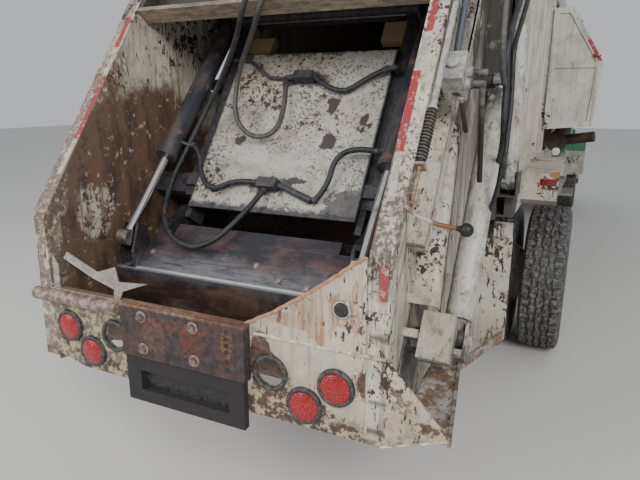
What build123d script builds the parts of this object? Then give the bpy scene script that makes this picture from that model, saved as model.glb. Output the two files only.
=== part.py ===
from build123d import *
import math
import os

os.makedirs("parts", exist_ok=True)

# Refuse truck with a rear loading tailgate. Millimetres, +Z up, nose towards +Y.
# Places are given as stations: the distance forward of the rear light panel.

# Overall reach, from which the model is centred on its length
front_reach = 9450
rear_reach = -110
light_panel_y = -(front_reach + rear_reach) / 2

# Wheels
tyre_radius = 520
tyre_width = 280
rim_radius = 290
dual_gap = 60
rear_axle_station = 2760
front_axle_station = 8500
rear_tyre_outer_x = 1200
front_tyre_outer_x = 1170
kingpin_x = 870
kingpin_radius = 22
kingpin_clearance = 0.5

# Ladder frame
rail_outer_x = 430
rail_height = 254
rail_top = 1010
rail_flange = 80
rail_wall = 10
rail_rear = 1880
rail_front = front_reach - 350

# Refuse body
body_rear = 1800
body_front = 6200
body_half_width = 890
body_skin = 8
body_rib_depth = 50
body_floor_z = 1130
body_floor_wall = 12
body_roof_top = 2750
body_roof_depth = 50

# Slide on which the carriage runs, inside the tailgate
slide_angle = 36
pivot_station = 640
pivot_z = 1250
carriage_stroke = 720
trough_radius = 635

# Tailgate
side_inner_x = 680
side_wall = 10
column_outer_x = 750
column_depth = 60
column_plane_n = 564
knee_station = 20
knee_z = 1357
sill_z = 1055
panel_bottom_z = 735
panel_wall = 8
tailgate_front = 1790
hinge_rise = 155
hinge_station = 1860
hinge_z = body_roof_top + hinge_rise
hinge_pin_radius = 24
tailgate_top = hinge_z + 15

# Cylinders
slide_cylinder_x = 855
slide_cylinder_radius = 52
slide_rod_radius = 22
slide_axis_n = -70
slide_eye_s = 810
blade_cylinder_x = 545
blade_cylinder_radius = 45
blade_rod_radius = 20
lift_cylinder_x = 860
lift_cylinder_radius = 36
lift_rod_radius = 20
lift_pin_radius = 18
lift_eye = (1660, tailgate_top - 300)
lift_base = (body_rear - 50, 1330)
blade_eye = (300, 1210)
rod_clearance = 0.5
port_radius = 9
port_along = 805

# Hoses
hose_radius = 12
fitting_radius = 16
fitting_length = 26

# Rear fenders
fender_reach = 560
fender_top = 1335
fender_outer_x = 1100
fender_wall = 12

# Carriage panel and the two hydraulic blocks on it
panel_half = 415
panel_face_n = 100
panel_top_s = 860
upper_block_s = 700
lower_block_s = 135
upper_block_half = 50
lower_block_x = (-60, 32)

# Header channel of the tailgate
header_s = (735, 980)
header_depth = 80
header_flange = 20
header_web = 10

# Cab
cab_rear = 6550
cab_front = 7950
cab_half_width = 1050
cab_wall = 50
cab_floor_z = 1080
cab_roof_z = 2730
door_gap = 8
belt_z = 1780
rear_window_x = 520
rear_window_drop = 290
door_hinge_x = cab_half_width + 16
door_hinge_station = 7896
door_hinge_heights = (1260, 1680)
seat_gap = 0.3
hood_rear = cab_front + 12
hood_front = front_reach - 150
hood_hinge_station = hood_front - 60
hood_hinge_z = 960
arch_radius = 640
arch_band = 60
fender_split = 7990

sin_a = math.sin(math.radians(slide_angle))
cos_a = math.cos(math.radians(slide_angle))
sides = (("left", -1), ("right", 1))
slide_plane = Plane(origin=(0, pivot_station, pivot_z), x_dir=(1, 0, 0), z_dir=(0, sin_a, cos_a))


def block(x0, x1, d0, d1, z0, z1):
    """Box between two corners: across, station, height."""
    box = Box(x1 - x0, d1 - d0, z1 - z0)
    return Pos((x0 + x1) / 2, (d0 + d1) / 2, (z0 + z1) / 2) * box


def bar(start, end, radius):
    """Round bar between two points."""
    line = Vector(*end) - Vector(*start)
    plane = Plane(origin=start, z_dir=line.normalized())
    return plane.location * Pos(0, 0, line.length / 2) * Cylinder(radius, line.length)


def across(x0, x1, station, height, radius):
    """Round bar across the truck."""
    return bar((x0, station, height), (x1, station, height), radius)


def side_plate(outline, x0, x1):
    """Plate whose outline is given by (station, height) points, from x0 to x1."""
    face = make_face(Plane.YZ * Polyline(*outline, close=True))
    return Pos(x0, 0, 0) * extrude(face, x1 - x0, dir=(1, 0, 0))


def rear_plate(outline, d0, d1):
    """Plate whose outline is given by (across, height) points, from station d0 to d1."""
    face = make_face(Plane.XZ * Polyline(*outline, close=True))
    return Pos(0, d0, 0) * extrude(face, d1 - d0, dir=(0, 1, 0))


def on_slide(s, n):
    """Station and height of a point s along the slide and n rearwards off it."""
    return (pivot_station + s * sin_a - n * cos_a, pivot_z + s * cos_a + n * sin_a)


blade_base = on_slide(1090, 106)


def slide_block(x0, x1, s0, s1, n0, n1):
    """Box lined up with the slide."""
    return slide_plane.location * block(x0, x1, -n1, -n0, s0, s1)


def slide_plate(outline, n0, n1):
    """Plate lined up with the slide, whose outline is given by (across, s) points."""
    return slide_plane.location * rear_plate(outline, -n1, -n0)


def on_panel(x, s, n):
    """Point across, along the slide and off it, as a point of the drawing."""
    return (x, *on_slide(s, n))


def slide_bar(start, end, radius):
    """Round bar between two (across, s, n) points."""
    return bar(on_panel(*start), on_panel(*end), radius)


def both(make):
    """The same piece made for the left and for the right."""
    return [make(sign) for name, sign in sides]


def span(sign, x0, x1):
    """Ordered pair of across positions on one side."""
    return (x0, x1) if sign > 0 else (-x1, -x0)


def save(name, *solids):
    """Write one node, moved so that the origin is mid length on the ground."""
    placed = [Pos(0, light_panel_y, 0) * piece for piece in solids]
    export_step(placed[0] if len(placed) == 1 else Compound(children=placed), f"parts/{name}.step")


# Ladder frame: two channels and their cross members
def chassis_frame():
    def rail(sign):
        outer = block(*span(sign, rail_outer_x - rail_flange, rail_outer_x),
                      rail_rear, rail_front, rail_top - rail_height, rail_top)
        hollow = block(*span(sign, rail_outer_x - rail_flange, rail_outer_x - rail_wall),
                       rail_rear, rail_front, rail_top - rail_height + rail_wall, rail_top - rail_wall)
        return outer - hollow

    frame = rail(-1) + rail(1)
    reach = rail_outer_x - rail_wall
    for station in (1940, 3700, 4900, 6100, 7300):
        frame += block(-reach, reach, station - 40, station + 40, rail_top - 110, rail_top - rail_wall)
    for station in (2100, 3500, 5200, 6000):
        for sign in (-1, 1):
            # Pads that carry the body sills
            frame += block(*span(sign, rail_outer_x - rail_flange, rail_outer_x),
                           station - 100, station + 100, rail_top, body_floor_z - 60)
    frame += block(-reach, reach, rail_front - 80, rail_front, rail_top - 250, rail_top - 160)
    for sign in (-1, 1):
        # Horns that carry the bumper and the eye of the hood hinge
        frame += block(*span(sign, rail_outer_x - 60, rail_outer_x), rail_front - 60, front_reach - 12, 770, 850)
        frame += block(*span(sign, rail_outer_x - 60, 495), hood_hinge_station - 40, hood_hinge_station + 40,
                       800, 850)
        frame += block(*span(sign, 465, 495), hood_hinge_station - 30, hood_hinge_station + 30, 850, hood_hinge_z)
        frame += across(*span(sign, 465, 495), hood_hinge_station, hood_hinge_z, 30)
        frame -= across(*span(sign, 460, 500), hood_hinge_station, hood_hinge_z, 12 + rod_clearance)
    return frame


def leaf_spring(sign, station, half, drop):
    """Bow of leaves hung under a rail."""
    top = rail_top - rail_height
    mid = top - drop
    lower = ThreePointArc((station - half, top - 40), (station, mid - 60), (station + half, top - 40))
    upper = ThreePointArc((station + half, top), (station, mid), (station - half, top))
    ends = [Line((station + half, top - 40), (station + half, top)),
            Line((station - half, top), (station - half, top - 40))]
    face = make_face(Plane.YZ * (Curve() + lower + upper + ends))
    x0, x1 = span(sign, rail_outer_x - 85, rail_outer_x)
    spring = Pos(x0, 0, 0) * extrude(face, x1 - x0, dir=(1, 0, 0))
    for end in (-1, 1):
        # Rolled eye of the top leaf
        spring += across(x0, x1, station + end * half, top - 30, 30)
    return spring


def front_axle():
    """Beam with its kingpins and springs."""
    beam = block(-kingpin_x, kingpin_x, front_axle_station - 45, front_axle_station + 45,
                 tyre_radius - 45, tyre_radius + 45)
    for sign in (-1, 1):
        x = sign * kingpin_x
        beam += bar((x, front_axle_station, tyre_radius - 45), (x, front_axle_station, tyre_radius + 45), 48)
        beam += bar((x, front_axle_station, tyre_radius - 85), (x, front_axle_station, tyre_radius + 85),
                    kingpin_radius)
        beam += leaf_spring(sign, front_axle_station, 580, 90)
        beam += block(*span(sign, rail_outer_x - 95, rail_outer_x + 10), front_axle_station - 70,
                      front_axle_station + 70, tyre_radius + 45, rail_top - rail_height - 100)
    return beam


def rear_axle():
    """Drive axle with its tubes, springs and shaft."""
    z = tyre_radius
    tube_end = rear_tyre_outer_x - tyre_width - dual_gap / 2 + 20
    axle = across(-tube_end, tube_end, rear_axle_station, z, 75)
    axle += across(-120, 120, rear_axle_station, z, 200)
    axle += bar((0, rear_axle_station, z + 30), (0, rear_axle_station + 330, z + 70), 90)
    axle += bar((0, rear_axle_station + 330, z + 70), (0, front_axle_station - 560, 810), 50)
    for sign in (-1, 1):
        axle += leaf_spring(sign, rear_axle_station, 680, 70)
        axle += block(*span(sign, rail_outer_x - 95, rail_outer_x + 10), rear_axle_station - 80,
                      rear_axle_station + 80, z + 40, rail_top - rail_height - 80)
    return axle


def engine_block():
    """Engine as one plain mass on its feet between the rails."""
    engine = block(-300, 300, front_axle_station - 520, front_axle_station + 500, 760, 1440)
    for sign in (-1, 1):
        engine += block(*span(sign, 300, rail_outer_x - rail_flange - seat_gap), front_axle_station - 200,
                        front_axle_station - 60, rail_top - rail_wall, rail_top)
    return engine


def front_bumper():
    bumper = block(-1190, 1190, front_reach - 100, front_reach, 520, 820)
    bumper -= block(-1170, 1170, front_reach - 101, front_reach - 12, 540, 800)
    for sign in (-1, 1):
        bumper -= block(*span(sign, rail_outer_x - 62, rail_outer_x + 2), front_reach - 101, front_reach - 12,
                        768, 821)
        # Tow hole
        bumper -= bar((sign * 700, front_reach - 20, 670), (sign * 700, front_reach + 1, 670), 35)
    return bumper


def fuel_tank():
    """Round tank under the right door and battery box under the left, both with a step."""
    tank = bar((760, 6600, 760), (760, 7560, 760), 290)
    straps = block(rail_outer_x, 560, 6700, 6780, 560, 960)
    straps += block(rail_outer_x, 560, 7380, 7460, 560, 960)
    step = block(900, 1150, 6800, 7400, 470, 500) + block(960, 1000, 6820, 7380, 500, 700)
    tank = tank + straps + step
    box = block(-1000, -rail_outer_x, 6700, 7500, 520, 980)
    box += block(-1150, -1000, 6750, 7450, 520, 545)
    box += block(-1120, -1000, 6750, 7450, 780, 805)
    return [tank, box]


def exhaust_pipe():
    """Muffler under the right bin with its outlet turned out to the side."""
    muffler = bar((990, 3990, 1400), (990, 5300, 1400), 85)
    outlet = bar((990, 4060, 1410), (1290, 3980, 1460), 45)
    hangers = block(body_half_width, 990, 4300, 4360, 1380, 1420)
    hangers += block(body_half_width, 990, 5000, 5060, 1380, 1420)
    return muffler + outlet + hangers


def front_fender_end(sign):
    """Fixed rear end of the front fender, hung from the cab floor."""
    x0, x1 = span(sign, 900, 1250)
    ring = across(x0, x1, front_axle_station, tyre_radius, arch_radius + arch_band)
    ring -= across(x0 - 1, x1 + 1, front_axle_station, tyre_radius, arch_radius)
    piece = ring & block(x0, x1, 7600, fender_split - 12, 640, 1060)
    return piece + block(*span(sign, 900, 990), 7900, 7940, 900, cab_floor_z)


def rear_fender(sign):
    """Folded fender over the twin wheels, with its hanging strip."""
    x0, x1 = span(sign, body_half_width + seat_gap, fender_outer_x)
    rear = rear_axle_station - fender_reach
    front = rear_axle_station + fender_reach + 120
    skirt = fender_top - 185
    shape = side_plate([(rear, skirt), (rear, fender_top - 45), (rear + 55, fender_top),
                        (front - 90, fender_top), (front, fender_top - 60), (front, skirt)], x0, x1)
    low = skirt - 1
    shape -= side_plate([(rear + fender_wall, low), (rear + fender_wall, fender_top - 50),
                         (rear + 60, fender_top - fender_wall), (front - 95, fender_top - fender_wall),
                         (front - fender_wall, fender_top - 65), (front - fender_wall, low)],
                        *span(sign, body_half_width + fender_wall, fender_outer_x + 1))
    return shape


# Refuse body, panel by panel
def body_floor():
    floor = block(-body_half_width, body_half_width, body_rear, body_front, body_floor_z,
                  body_floor_z + body_floor_wall)
    for sign in (-1, 1):
        floor += block(*span(sign, rail_outer_x - rail_flange, rail_outer_x), body_rear + 60, body_front,
                       body_floor_z - 60, body_floor_z)
    return floor


def body_side(sign):
    """Side skin with its top rail, bottom rail and ribs."""
    bottom = body_floor_z + body_floor_wall
    top = body_roof_top - body_roof_depth
    skin_x = body_half_width - body_rib_depth
    wall = block(*span(sign, skin_x, skin_x + body_skin), body_rear + 100, body_front, bottom, top)
    wall += block(*span(sign, skin_x, body_half_width), body_rear + 100, body_front, bottom, bottom + 180)
    wall += block(*span(sign, skin_x, body_half_width), body_rear + 100, body_front, top - 110, top)
    for rib in range(8):
        station = body_rear + 260 + rib * 570
        wall += block(*span(sign, skin_x, body_half_width), station - 45, station + 45, bottom, top)
    return wall


def body_roof():
    roof = block(-body_half_width, body_half_width, body_rear + 100, body_front,
                 body_roof_top - body_roof_depth, body_roof_top)
    return roof


def body_front_wall():
    return block(-body_half_width, body_half_width, body_front, body_front + 50, body_floor_z,
                 body_roof_top)


def body_rear_frame():
    """Hoop round the rear opening, with hinge ears and lift brackets."""
    inner_x = body_half_width - body_rib_depth
    z0 = body_floor_z + body_floor_wall
    frame = block(-body_half_width, body_half_width, body_rear, body_rear + 100, z0, body_roof_top)
    frame -= block(-inner_x, inner_x, body_rear - 1, body_rear + 101, z0 - 1,
                   body_roof_top - body_roof_depth)
    for sign in (-1, 1):
        ear = side_plate([(body_rear, body_roof_top), (body_rear + 98, body_roof_top),
                          (hinge_station + 38, hinge_z + 45), (hinge_station - 45, hinge_z + 45)],
                         *span(sign, 610, 640))
        frame += ear
        frame += across(*span(sign, 540, 660), hinge_station, hinge_z, hinge_pin_radius)
        base_d, base_z = lift_base
        for x in (lift_cylinder_x - 50, lift_cylinder_x + 42):
            frame += side_plate([(base_d - 45, base_z - 60), (body_rear + 100, base_z - 60),
                                 (body_rear + 100, base_z + 60), (base_d, base_z + 60), (base_d - 45, base_z + 30)],
                                *span(sign, x, x + 8))
        frame += block(*span(sign, lift_cylinder_x - 50, lift_cylinder_x + 50), base_d - 45, body_rear + 100,
                       base_z - 68, base_z - 60)
        frame += across(*span(sign, lift_cylinder_x - 54, lift_cylinder_x + 54), *lift_base, lift_pin_radius)
    return frame


bin_corner = Vector(1286, 2070)
bin_top = Vector(1032, 2490)
bin_bottom_z = 1530
bin_rear = 3700
bin_length = 2480
bin_wall = 26
bin_rail = 42
bin_rail_proud = 14
lid_margin = 24
lid_length = 416
lid_wall = 18
lid_gap = 6
lid_hinge_along = 462
lid_hinge_proud = 16
lid_hinge_stations = (bin_rear + 400, bin_rear + bin_length - 400)


def bin_face(along_face, inward):
    """Point on the sloping face: up it from its corner, and in from it."""
    slope = (bin_top - bin_corner).normalized()
    out = Vector(slope.Y, -slope.X)
    point = bin_corner + slope * along_face - out * inward
    return (point.X, point.Y)


def side_bin(sign):
    """Angular side bin whose sloping face is its lid."""
    outer = [(body_half_width, bin_bottom_z), (1258, bin_bottom_z + 30), (bin_corner.X, bin_corner.Y),
             (bin_top.X, bin_top.Y), (body_half_width, bin_top.Y)]
    hollow = [(body_half_width + bin_wall, bin_bottom_z + bin_wall),
              (1258 - bin_wall, bin_bottom_z + 30 + bin_wall), (bin_corner.X - bin_wall, bin_corner.Y),
              (bin_top.X - bin_wall, bin_top.Y - bin_wall), (body_half_width + bin_wall, bin_top.Y - bin_wall)]
    mouth = [bin_face(lid_margin - lid_gap, -20), bin_face(lid_margin - lid_gap, 60),
             bin_face(lid_margin + lid_length + lid_gap, 60),
             bin_face(lid_margin + lid_length + lid_gap, -20)]
    shell = rear_plate([(sign * x, z) for x, z in outer], bin_rear, bin_rear + bin_length)
    shell -= rear_plate([(sign * x, z) for x, z in hollow], bin_rear + bin_wall,
                        bin_rear + bin_length - bin_wall)
    shell -= rear_plate([(sign * x, z) for x, z in mouth], bin_rear + 60, bin_rear + bin_length - 60)
    hinge_x, hinge_height = bin_face(lid_hinge_along, -lid_hinge_proud)
    foot = [bin_face(lid_hinge_along - 12, 1), bin_face(lid_hinge_along + 12, 1),
            bin_face(lid_hinge_along + 12, -lid_hinge_proud), bin_face(lid_hinge_along - 12, -lid_hinge_proud)]
    for station in lid_hinge_stations:
        for start in (station - 62, station + 32):
            shell += rear_plate([(sign * x, z) for x, z in foot], start, start + 30)
            shell += bar((sign * hinge_x, start, hinge_height), (sign * hinge_x, start + 30, hinge_height), 14)
        shell += bar((sign * hinge_x, station - 60, hinge_height), (sign * hinge_x, station + 60, hinge_height), 7)
    # Raised rails round both end panels
    inset = [(body_half_width + bin_rail, bin_bottom_z + bin_rail), (1258 - bin_rail, bin_bottom_z + 30 + bin_rail),
             (bin_corner.X - bin_rail, bin_corner.Y - 8), (bin_top.X - bin_rail * 0.55, bin_top.Y - bin_rail),
             (body_half_width + bin_rail, bin_top.Y - bin_rail)]
    for start in (bin_rear - bin_rail_proud, bin_rear + bin_length):
        rails = rear_plate([(sign * x, z) for x, z in outer], start, start + bin_rail_proud)
        rails -= rear_plate([(sign * x, z) for x, z in inset], start - 1, start + bin_rail_proud + 1)
        rails += block(*span(sign, body_half_width, bin_corner.X - 20), start, start + bin_rail_proud,
                       bin_corner.Y - 45, bin_corner.Y - 5)
        shell += rails
    return shell


def bin_lid(sign):
    """Lid lying in the sloping face, with its hinge straps at the top edge."""
    points = [bin_face(lid_margin, 8), bin_face(lid_margin, 8 + lid_wall),
              bin_face(lid_margin + lid_length, 8 + lid_wall), bin_face(lid_margin + lid_length, 8)]
    lid = rear_plate([(sign * x, z) for x, z in points], bin_rear + 60 + lid_gap,
                     bin_rear + bin_length - 60 - lid_gap)
    hinge_x, hinge_height = bin_face(lid_hinge_along, -lid_hinge_proud)
    strap = [bin_face(lid_margin + 340, 9), bin_face(lid_margin + 340, -2), bin_face(lid_hinge_along - 8, -22),
             bin_face(lid_hinge_along + 4, -10), bin_face(lid_margin + lid_length - 4, -3),
             bin_face(lid_margin + lid_length - 4, 9)]
    for station in lid_hinge_stations:
        lid += rear_plate([(sign * x, z) for x, z in strap], station - 30, station + 30)
        lid += bar((sign * hinge_x, station - 30, hinge_height), (sign * hinge_x, station + 30, hinge_height), 14)
        lid -= bar((sign * hinge_x, station - 31, hinge_height), (sign * hinge_x, station + 31, hinge_height),
                   7 + rod_clearance)
    return lid


def ejector_panel():
    """Push panel standing at the front of the load space."""
    half = body_half_width - body_rib_depth - 12
    z0 = body_floor_z + body_floor_wall + 0.3
    top = body_roof_top - body_roof_depth - 40
    outline = [(5480, z0), (5560, z0), (5900, 1900), (5900, top), (5840, top), (5840, 1920)]
    panel = side_plate(outline, -half, half)
    for x in (-700, 640):
        panel += side_plate([(5500, z0), (6150, z0), (6150, z0 + 60), (5900, 1900), (5850, 1900)],
                            x, x + 60)
    return panel


# Cab
def cab_floor():
    floor = block(-cab_half_width + cab_wall, cab_half_width - cab_wall, cab_rear, cab_front,
                  cab_floor_z, cab_floor_z + cab_wall)
    for sign in (-1, 1):
        floor += block(*span(sign, 330, 430), cab_rear + 100, cab_rear + 260, rail_top, cab_floor_z)
        floor += block(*span(sign, 330, 430), cab_front - 260, cab_front - 100, rail_top, cab_floor_z)
    return floor


def cab_back_wall():
    """Rear wall with its window, and the fixed corner panels."""
    z0 = cab_floor_z + cab_wall
    z1 = cab_roof_z - cab_wall
    wall = block(-cab_half_width, cab_half_width, cab_rear, cab_rear + cab_wall, z0, z1)
    wall -= block(-rear_window_x, rear_window_x, cab_rear - 1, cab_rear + cab_wall + 1, belt_z + 100,
                  cab_roof_z - rear_window_drop)
    for sign in (-1, 1):
        wall += block(*span(sign, cab_half_width - cab_wall, cab_half_width), cab_rear, 6760, z0, z1)
    return wall


def cab_roof():
    roof = block(-cab_half_width, cab_half_width, cab_rear, 7700, cab_roof_z - cab_wall, cab_roof_z)
    top_edges = roof.faces().sort_by(Axis.Z)[-1].edges()
    return fillet(top_edges, 40)


def cab_front_frame():
    """Firewall, cowl, windscreen posts and header as one pressing."""
    z0 = cab_floor_z + cab_wall
    z1 = cab_roof_z - cab_wall
    slope = [(cab_front, z0), (cab_front, belt_z), (7690, z1), (7640, z1), (cab_front - cab_wall, belt_z),
             (cab_front - cab_wall, z0)]
    front = side_plate(slope, -cab_half_width, cab_half_width)
    for sign in (-1, 1):
        for z in door_hinge_heights:
            for start in (z - 52, z + 22):
                front += block(*span(sign, cab_half_width - 1, door_hinge_x), door_hinge_station,
                               door_hinge_station + 30, start, start + 30)
                front += bar((sign * door_hinge_x, door_hinge_station, start),
                             (sign * door_hinge_x, door_hinge_station, start + 30), 14)
                front -= block(*span(sign, cab_half_width - cab_wall - 1, cab_half_width),
                               door_hinge_station - 20, cab_front - cab_wall, start - 1, start + 31)
            front += bar((sign * door_hinge_x, door_hinge_station, z - 50),
                         (sign * door_hinge_x, door_hinge_station, z + 50), 7)
    glass_hole = [(-930, belt_z + 60), (930, belt_z + 60), (900, z1 - 70), (-900, z1 - 70)]
    return front - rear_plate(glass_hole, 7600, cab_front - 1)


def sloped_glass(d_low, z_low, d_high, z_high, half_low, half_high, thick):
    """Flat pane leaning back between two heights."""
    outline = [(d_low, z_low), (d_high, z_high), (d_high - thick, z_high), (d_low - thick, z_low)]
    pane = side_plate(outline, -half_low, half_low)
    trim = [(-half_low, z_low), (half_low, z_low), (half_high, z_high), (-half_high, z_high)]
    return pane & rear_plate(trim, d_high - 100, d_low + 100)


def cab_glass():
    z1 = cab_roof_z - cab_wall
    rise = (z1 - belt_z)
    lean = (cab_front - 7690) / rise
    low = belt_z + 60 + seat_gap
    high = z1 - 70 - seat_gap
    screen = sloped_glass(cab_front - 25 - lean * (low - belt_z), low,
                          cab_front - 25 - lean * (high - belt_z), high, 930 - seat_gap, 900 - seat_gap, 8)
    back = block(-rear_window_x + seat_gap, rear_window_x - seat_gap, cab_rear + 20, cab_rear + 28,
                 belt_z + 100 + seat_gap, cab_roof_z - rear_window_drop - seat_gap)
    return [screen, back]


def seat(sign):
    x0, x1 = span(sign, 260, 780)
    z = cab_floor_z + cab_wall
    chair = block(x0 + 60, x1 - 60, 6800, 7160, z, z + 260)
    chair += fillet(block(x0, x1, 6740, 7240, z + 260, z + 400).edges(), 30)
    chair += side_plate([(6640, z + 1050), (6740, z + 380), (6860, z + 380), (6760, z + 1080)], x0, x1)
    return chair


def dashboard():
    z = cab_floor_z + cab_wall
    dash = side_plate([(cab_front - cab_wall, z + 330), (cab_front - cab_wall, belt_z - 10),
                       (7780, belt_z - 10), (7620, z + 560), (7640, z + 400)],
                      -cab_half_width + cab_wall + 5, cab_half_width - cab_wall - 5)
    column_low = (-520, 7700, z + 500)
    column_high = (-520, 7460, z + 640)
    dash += bar(column_low, column_high, 28)
    line = Vector(*column_high) - Vector(*column_low)
    plane = Plane(origin=column_high, z_dir=line.normalized())
    dash += plane.location * Torus(225, 15)
    dash += plane.location * Box(440, 30, 16)
    return dash


door_rear = 6760 + door_gap


def door_outline(inset):
    """Side outline of the door, following the sloping windscreen post."""
    z0 = cab_floor_z + cab_wall + door_gap + inset
    z1 = cab_roof_z - cab_wall - door_gap - inset
    lean = (cab_front - 7690) / (cab_roof_z - cab_wall - belt_z)
    front = cab_front - cab_wall - door_gap - inset
    return [(door_rear + inset, z0), (front, z0), (front, belt_z), (front - lean * (z1 - belt_z), z1),
            (door_rear + inset, z1)]


def window_outline(inset):
    z1 = cab_roof_z - cab_wall - door_gap - 90 - inset
    z0 = belt_z + 40 + inset
    lean = (cab_front - 7690) / (cab_roof_z - cab_wall - belt_z)
    front = cab_front - cab_wall - door_gap - 110 - inset
    return [(door_rear + 90 + inset, z0), (front - lean * (z0 - belt_z), z0),
            (front - lean * (z1 - belt_z), z1), (door_rear + 90 + inset, z1)]


def cab_door(sign):
    """Door with its window opening and the mirror on its arms."""
    x0, x1 = span(sign, cab_half_width - cab_wall, cab_half_width)
    door = side_plate(door_outline(0), x0, x1)
    door -= side_plate(window_outline(0), x0 - 1, x1 + 1)
    mirror_x = cab_half_width + 190
    for z in (2350, 1880):
        door += bar((sign * (cab_half_width - 20), 7780 - (z - 1880) * 0.2, z), (sign * mirror_x, 7800, z), 12)
    door += bar((sign * mirror_x, 7800, 1860), (sign * mirror_x, 7800, 2370), 14)
    head = block(*span(sign, mirror_x - 100, mirror_x + 90), 7770, 7830, 1940, 2320)
    door += fillet(head.edges().filter_by(Axis.Y), 30)
    door += block(*span(sign, cab_half_width - 5, cab_half_width + 30), 6830, 6970, 1660, 1690)
    for z in door_hinge_heights:
        door += block(*span(sign, cab_half_width - 1, door_hinge_x), door_hinge_station - 40,
                      door_hinge_station, z - 20, z + 20)
        door += bar((sign * door_hinge_x, door_hinge_station, z - 20),
                    (sign * door_hinge_x, door_hinge_station, z + 20), 14)
        door -= bar((sign * door_hinge_x, door_hinge_station, z - 21),
                    (sign * door_hinge_x, door_hinge_station, z + 21), 7 + rod_clearance)
    return door


def door_glass(sign):
    x = cab_half_width - cab_wall / 2
    return side_plate(window_outline(seat_gap), *span(sign, x - 4, x + 4))


def hood():
    """Hollow tilting hood with its flared fenders."""
    rear = hood_rear
    nose = hood_front
    outer = [(rear, 1020), (rear, 1740), (nose - 250, 1590), (nose - 40, 1500), (nose, 1380), (nose, 900),
             (nose - 80, 900), (nose - 80, 1020)]
    shell = side_plate(outer, -620, 620)
    inner = [(rear - 1, 1019), (rear - 1, 1700), (nose - 260, 1552), (nose - 75, 1475), (nose - 38, 1375),
             (nose - 38, 1019)]
    shell -= side_plate(inner, -582, 582)
    shell -= rear_plate([(-400, 1060), (400, 1060), (400, 1440), (-400, 1440)], hood_front - 100,
                        hood_front + 1)
    for sign in (-1, 1):
        x0, x1 = span(sign, 582, 1250)
        ring = across(x0, x1, front_axle_station, tyre_radius, arch_radius + arch_band)
        flare_in = span(sign, 582, 1080)
        top = block(*flare_in, rear + 120, nose - 100, 1130, 1240)
        fender = ring + top + block(*flare_in, nose - 210, nose - 80, 900, 1240)
        fender -= across(x0 - 1, x1 + 1, front_axle_station, tyre_radius, arch_radius)
        fender -= block(x0 - 1, x1 + 1, fender_split - 300, nose + 100, -300, 640)
        fender -= block(x0 - 1, x1 + 1, front_axle_station + 300, nose + 100, -300, 800)
        fender -= block(x0 - 1, x1 + 1, fender_split - 300, fender_split, -300, 1300)
        shell += fender
        # Pocket over the hinge eye, crossed by the hinge pin
        shell -= block(*span(sign, 430, 530), nose - 100, nose + 1, 890, 1020)
        shell += across(*span(sign, 425, 535), hood_hinge_station, hood_hinge_z, 12)
    return shell


def grille():
    """Grille bars in their frame, with the round lamps beside it."""
    d0 = hood_front - 45
    frame = block(-400 + seat_gap, 400 - seat_gap, d0, d0 + 30, 1060 + seat_gap, 1440 - seat_gap)
    frame -= block(-360, 360, d0 - 1, d0 + 31, 1100, 1400)
    for row in range(7):
        z = 1118 + row * 44
        frame += block(-362, 362, d0 + 5, d0 + 25, z - 8, z + 8)
    return frame


def headlamps():
    return [bar((sign * 800, hood_front - 80, 1080), (sign * 800, hood_front - 50, 1080), 95)
            for name, sign in sides]


# Wheels
def tyre_ring(x0, x1):
    """Tyre with rounded shoulders about its axle, at the origin."""
    half = (x1 - x0) / 2
    outer = tyre_radius
    profile = Polyline((-half + 40, rim_radius), (half - 40, rim_radius), (half - 12, rim_radius + 60),
                       (half, outer - 90), (half - 28, outer), (-half + 28, outer), (-half, outer - 90),
                       (-half + 12, rim_radius + 60), close=True)
    ring = revolve(make_face(Plane.XY * profile), Axis.X)
    return Pos((x0 + x1) / 2, 0, 0) * ring


def rim_shape(centre, dish, hub_x0, hub_x1):
    """Steel wheel: flanged barrel, cone to the disc at centre + dish, and hub."""
    toward = 1 if dish > 0 else -1
    disc = centre + dish
    profile = Polyline((centre - toward * 105, rim_radius), (centre + toward * 105, rim_radius),
                       (centre + toward * 105, rim_radius - 12), (centre + toward * 40, rim_radius - 12),
                       (disc, 175), (disc, 90), (disc - toward * 12, 90), (disc - toward * 12, 165),
                       (centre + toward * 15, rim_radius - 12), (centre - toward * 105, rim_radius - 12),
                       close=True)
    shape = revolve(make_face(Plane.XY * profile), Axis.X)
    for hole in range(5):
        angle = math.radians(72 * hole)
        y, z = 225 * math.cos(angle), 225 * math.sin(angle)
        shape -= bar((centre, y, z), (disc + toward * 60, y, z), 26)
    return shape + bar((hub_x0, 0, 0), (hub_x1, 0, 0), 110)


def wheel_at(parts, station):
    return [Pos(0, station, tyre_radius) * p for p in parts]


def front_wheel(sign):
    x0, x1 = span(sign, front_tyre_outer_x - tyre_width, front_tyre_outer_x)
    centre = sign * (front_tyre_outer_x - tyre_width / 2)
    rim = rim_shape(centre, sign * 115, centre - sign * 40, centre + sign * 175)
    rim -= bar((centre - sign * 41, 0, 0), (centre + sign * 60, 0, 0), 58 + rod_clearance)
    return wheel_at([tyre_ring(x0, x1), rim], front_axle_station)


def rear_wheel(sign):
    """Twin wheels whose discs meet half way between the tyres."""
    half = (tyre_width + dual_gap) / 2
    middle = rear_tyre_outer_x - tyre_width - dual_gap / 2
    parts = []
    for shift in (half, -half):
        x0, x1 = span(sign, middle + shift - tyre_width / 2, middle + shift + tyre_width / 2)
        parts.append(tyre_ring(x0, x1))
    rim = rim_shape(sign * (middle + half), -sign * half, sign * (middle - 140), sign * (middle + 190))
    rim += rim_shape(sign * (middle - half), sign * half, sign * (middle - 140), sign * (middle + 10))
    rim -= bar((sign * (middle - 141), 0, 0), (sign * (middle + 20), 0, 0), 75 + rod_clearance)
    return wheel_at(parts + [rim], rear_axle_station)


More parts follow.
